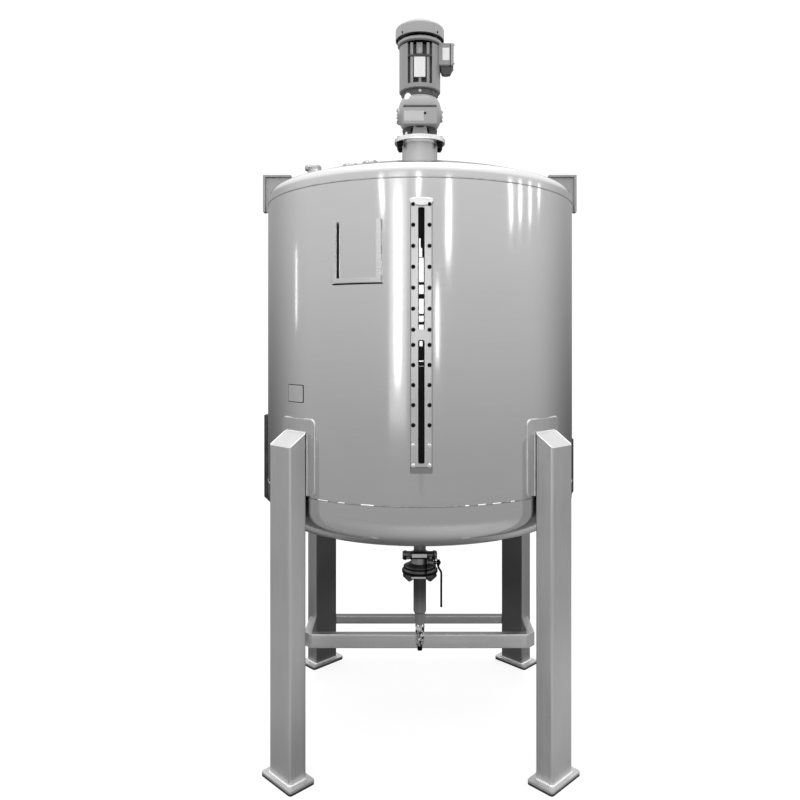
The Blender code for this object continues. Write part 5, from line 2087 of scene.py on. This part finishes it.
@dataclass(frozen=True)
class Studio:
    """Camera, pale floor and soft lights."""

    eye: Triple = (-0.0265, -3.344, 1.724)
    lens: float = 31.95
    shift: Pair = (-0.0177, -0.0688)
    strips: tuple[StripLight, ...] = (
        StripLight(-14.5, 1.4, 2.75, 0.3, 2.8),
        StripLight(-14.5, 2.75, 3.25, 0.42, 1.1),
        StripLight(-14.5, 0.9, 3.6, 1.0, 0.35, 5.1),
        StripLight(18.0, 2.6, 3.35, 0.26, 2.6),
        StripLight(10.8, 1.6, 2.3, 0.16, 2.2),
        StripLight(62.0, 2.95, 3.45, 0.12, 4.5, lean=20.0),
        StripLight(70.0, 3.0, 3.45, 0.12, 4.5, lean=8.0),
        StripLight(79.0, 3.0, 3.42, 0.1, 4.5, lean=6.0),
        StripLight(88.0, 3.15, 3.4, 0.1, 4.5),
        StripLight(-25.0, 3.05, 3.45, 0.18, 3.5, lean=24.0),
        StripLight(-1.6, 3.15, 3.5, 0.22, 3.2),
        StripLight(-94.0, 1.95, 2.7, 0.07, 3.0),
    )
    cards: tuple[WindowCard, ...] = (
        WindowCard(1.492, 1.501, radiance=12.0), WindowCard(1.547, 1.558),
        WindowCard(1.713, 1.767, 0.046, 0.046), WindowCard(1.885, 1.939), WindowCard(1.971, 2.035),
        WindowCard(2.057, 2.218), WindowCard(2.271, 2.368), WindowCard(2.4, 2.66),
        WindowCard(2.669, 2.765, 0.038, 0.05), WindowCard(2.765, 2.87, 0.026, 0.026))
    floor_reach: float = 3.4
    screen: Triple = (0.55, 2.6, 0.85)
    card_screen: Window = (0.004, 0.097, 0.3, 3.3)
    card_screen_y: float = -5.76
    lit_floor: float = 0.8
    backdrop: float = 1.05

    def build(self) -> None:
        """Build the studio."""
        self.camera()
        self.floor()
        self.world()
        for lights in (self.strips, self.cards):
            for number, light in enumerate(lights):
                light.place(number)
        self.flag()
        panel("overhead", Matrix.Translation((0.0, -0.8, 5.6)), (4.5, 4.0), 1.6)
        view = bpy.context.scene.view_settings
        view.view_transform = "Standard"
        view.look = "None"

    def camera(self) -> None:
        """Set the camera where the photograph was taken from."""
        data = bpy.data.cameras.new("camera")
        data.lens = self.lens
        data.sensor_width = 36.0
        data.shift_x, data.shift_y = self.shift
        holder = stand("camera", data)
        holder.location = self.eye
        holder.rotation_euler = (pi / 2, 0.0, 0.0)
        bpy.context.scene.camera = holder

    def floor(self) -> None:
        """Lay a pale floor that fades out round the tank, and that the steel mirrors as a grey with painted
        shade under and behind the tank.
        """
        reach = self.floor_reach
        corners = [(x * reach, y * reach, 0) for x, y in ((-1, -1), (1, -1), (1, 1), (-1, 1))]
        floor, tree, shader = flat("floor", corners, "pale_floor", Roughness=0.7, Emission_Color=grey(1.0))
        place = place_on(tree)
        tone = mix(tree, noise(tree, place, 3.0, 3.0), grey(0.2), grey(0.24))
        seen = put(tree, "LightPath").outputs["Is Camera Ray"]
        axes = split(tree, place)
        far = put(tree, "VectorMath", {0: place}, operation="LENGTH").outputs["Value"]
        # Painted shade and light in what the steel mirrors: darker under and behind the tank and to the left,
        # lighter to the right and in front.
        level: Any = 0.0
        for value, ends, levels in (
                (far, (0.3, 1.2), (0.19, 0.34)), (axes["X"], (-1.2, 1.2), (-0.07, 0.06)),
                (axes["Y"], (-2.2, -0.8), (0.08, 0.0)), (axes["Y"], (0.1, 1.0), (0.0, -0.22))):
            level = calc(tree, "ADD", level, ramp(tree, value, ends, levels))
        tree.links.new(mix(tree, seen, level, tone), shader["Base Color"])
        tree.links.new(calc(tree, "MULTIPLY", seen, self.lit_floor), shader["Emission Strength"])
        tree.links.new(ramp(tree, far, (1.2, reach), (1.0, 0.0)), shader["Alpha"])

    def flag(self) -> None:
        """Stand dark screens that the steel mirrors: a fading one behind the tank, one behind the cards."""
        near, far, top = self.screen
        left, right, low, high = self.card_screen
        y = self.card_screen_y
        corners = [(0, near, 0.002), (0, far, 0.002), (0, far, top), (0, near, top),
                   (left, y, low), (right, y, low), (right, y, high), (left, y, high)]
        screen, tree, shader = flat("screen", corners, "screen_cloth", Base_Color=grey(0.03), Roughness=0.9)
        screen.visible_camera = screen.visible_diffuse = screen.visible_shadow = False
        axes = split(tree, place_on(tree))
        rising = calc(tree, "MULTIPLY", ramp(tree, axes["Y"], (0.55, 1.3)),
                      ramp(tree, axes["Z"], (0.45, top), (1.0, 0.0)))
        cover = calc(tree, "ADD", rising, ramp(tree, axes["Y"], (-2.0, 0.0), (1.0, 0.0)))
        tree.links.new(cover, shader["Alpha"])

    def world(self) -> None:
        """Make a white backdrop and a soft surround that the steel mirrors."""
        world = bpy.data.worlds.new("studio")
        world.use_nodes = True
        bpy.context.scene.world = world
        tree = world.node_tree
        tree.nodes.clear()
        axes = split(tree, put(tree, "TexCoord").outputs["Generated"])
        depth, height = axes["Y"], axes["Z"]
        dark = calc(tree, "MULTIPLY", ramp(tree, depth, (-0.1, 0.95), (0.0, 0.37)),
                    ramp(tree, height, (0.22, 0.42), (1.0, 0.0)))
        level = calc(tree, "ADD", ramp(tree, height, (-0.28, 0.34), (0.44, 0.86)),
                     ramp(tree, height, (0.2, 0.7), (0.0, 0.5)))
        band = calc(tree, "MULTIPLY", ramp(tree, height, (0.22, 0.3), (0.0, 0.45)),
                    ramp(tree, height, (0.42, 0.52), (1.0, 0.0)))
        behind = calc(tree, "MULTIPLY", band, ramp(tree, depth, (0.75, 0.9)))
        total = calc(tree, "SUBTRACT", level, calc(tree, "ADD", dark, behind))
        soft, white = (tap(tree, "Background", {"Color": grey(1.0), "Strength": strength})
                       for strength in (total, self.backdrop))
        seen = put(tree, "LightPath").outputs["Is Camera Ray"]
        mixed = tap(tree, "MixShader", {0: seen, 1: soft, 2: white})
        put(tree, "OutputWorld", {"Surface": mixed})


def main() -> None:
    """Build every part of the tank and report its pieces."""
    vessel = Vessel()
    Studio().build()
    jobs: tuple[tuple[str, Callable[[], None]], ...] = (
        ("vessel", vessel.build),
        ("sight strip", lambda: SightStrip().build(vessel.windows)),
        ("plate holder", PlateHolder().build),
        ("label plate", LabelPlate().build),
        ("legs", LegFrame().build),
        ("side fittings", SideFittings().build),
        ("nozzles", lambda: Nozzles().build(vessel)),
        ("outlet", Outlet().build),
        ("valve lever", ValveLever().build),
        ("drive mount", lambda: DriveMount().build(vessel)),
        ("gearbox", Gearbox().build),
        ("motor", Motor().build),
    )
    for title, job in jobs:
        before = set(bpy.data.objects)
        job()
        fresh = set(bpy.data.objects) - before
        triangles = sum(len(face.vertices) - 2 for item in fresh for face in item.data.polygons)
        LOG.info("%s: %d triangles in %s", title, triangles, ", ".join(sorted(item.name for item in fresh)))


if __name__ == "__main__":
    logging.basicConfig(level=logging.INFO, format="%(message)s")
    main()
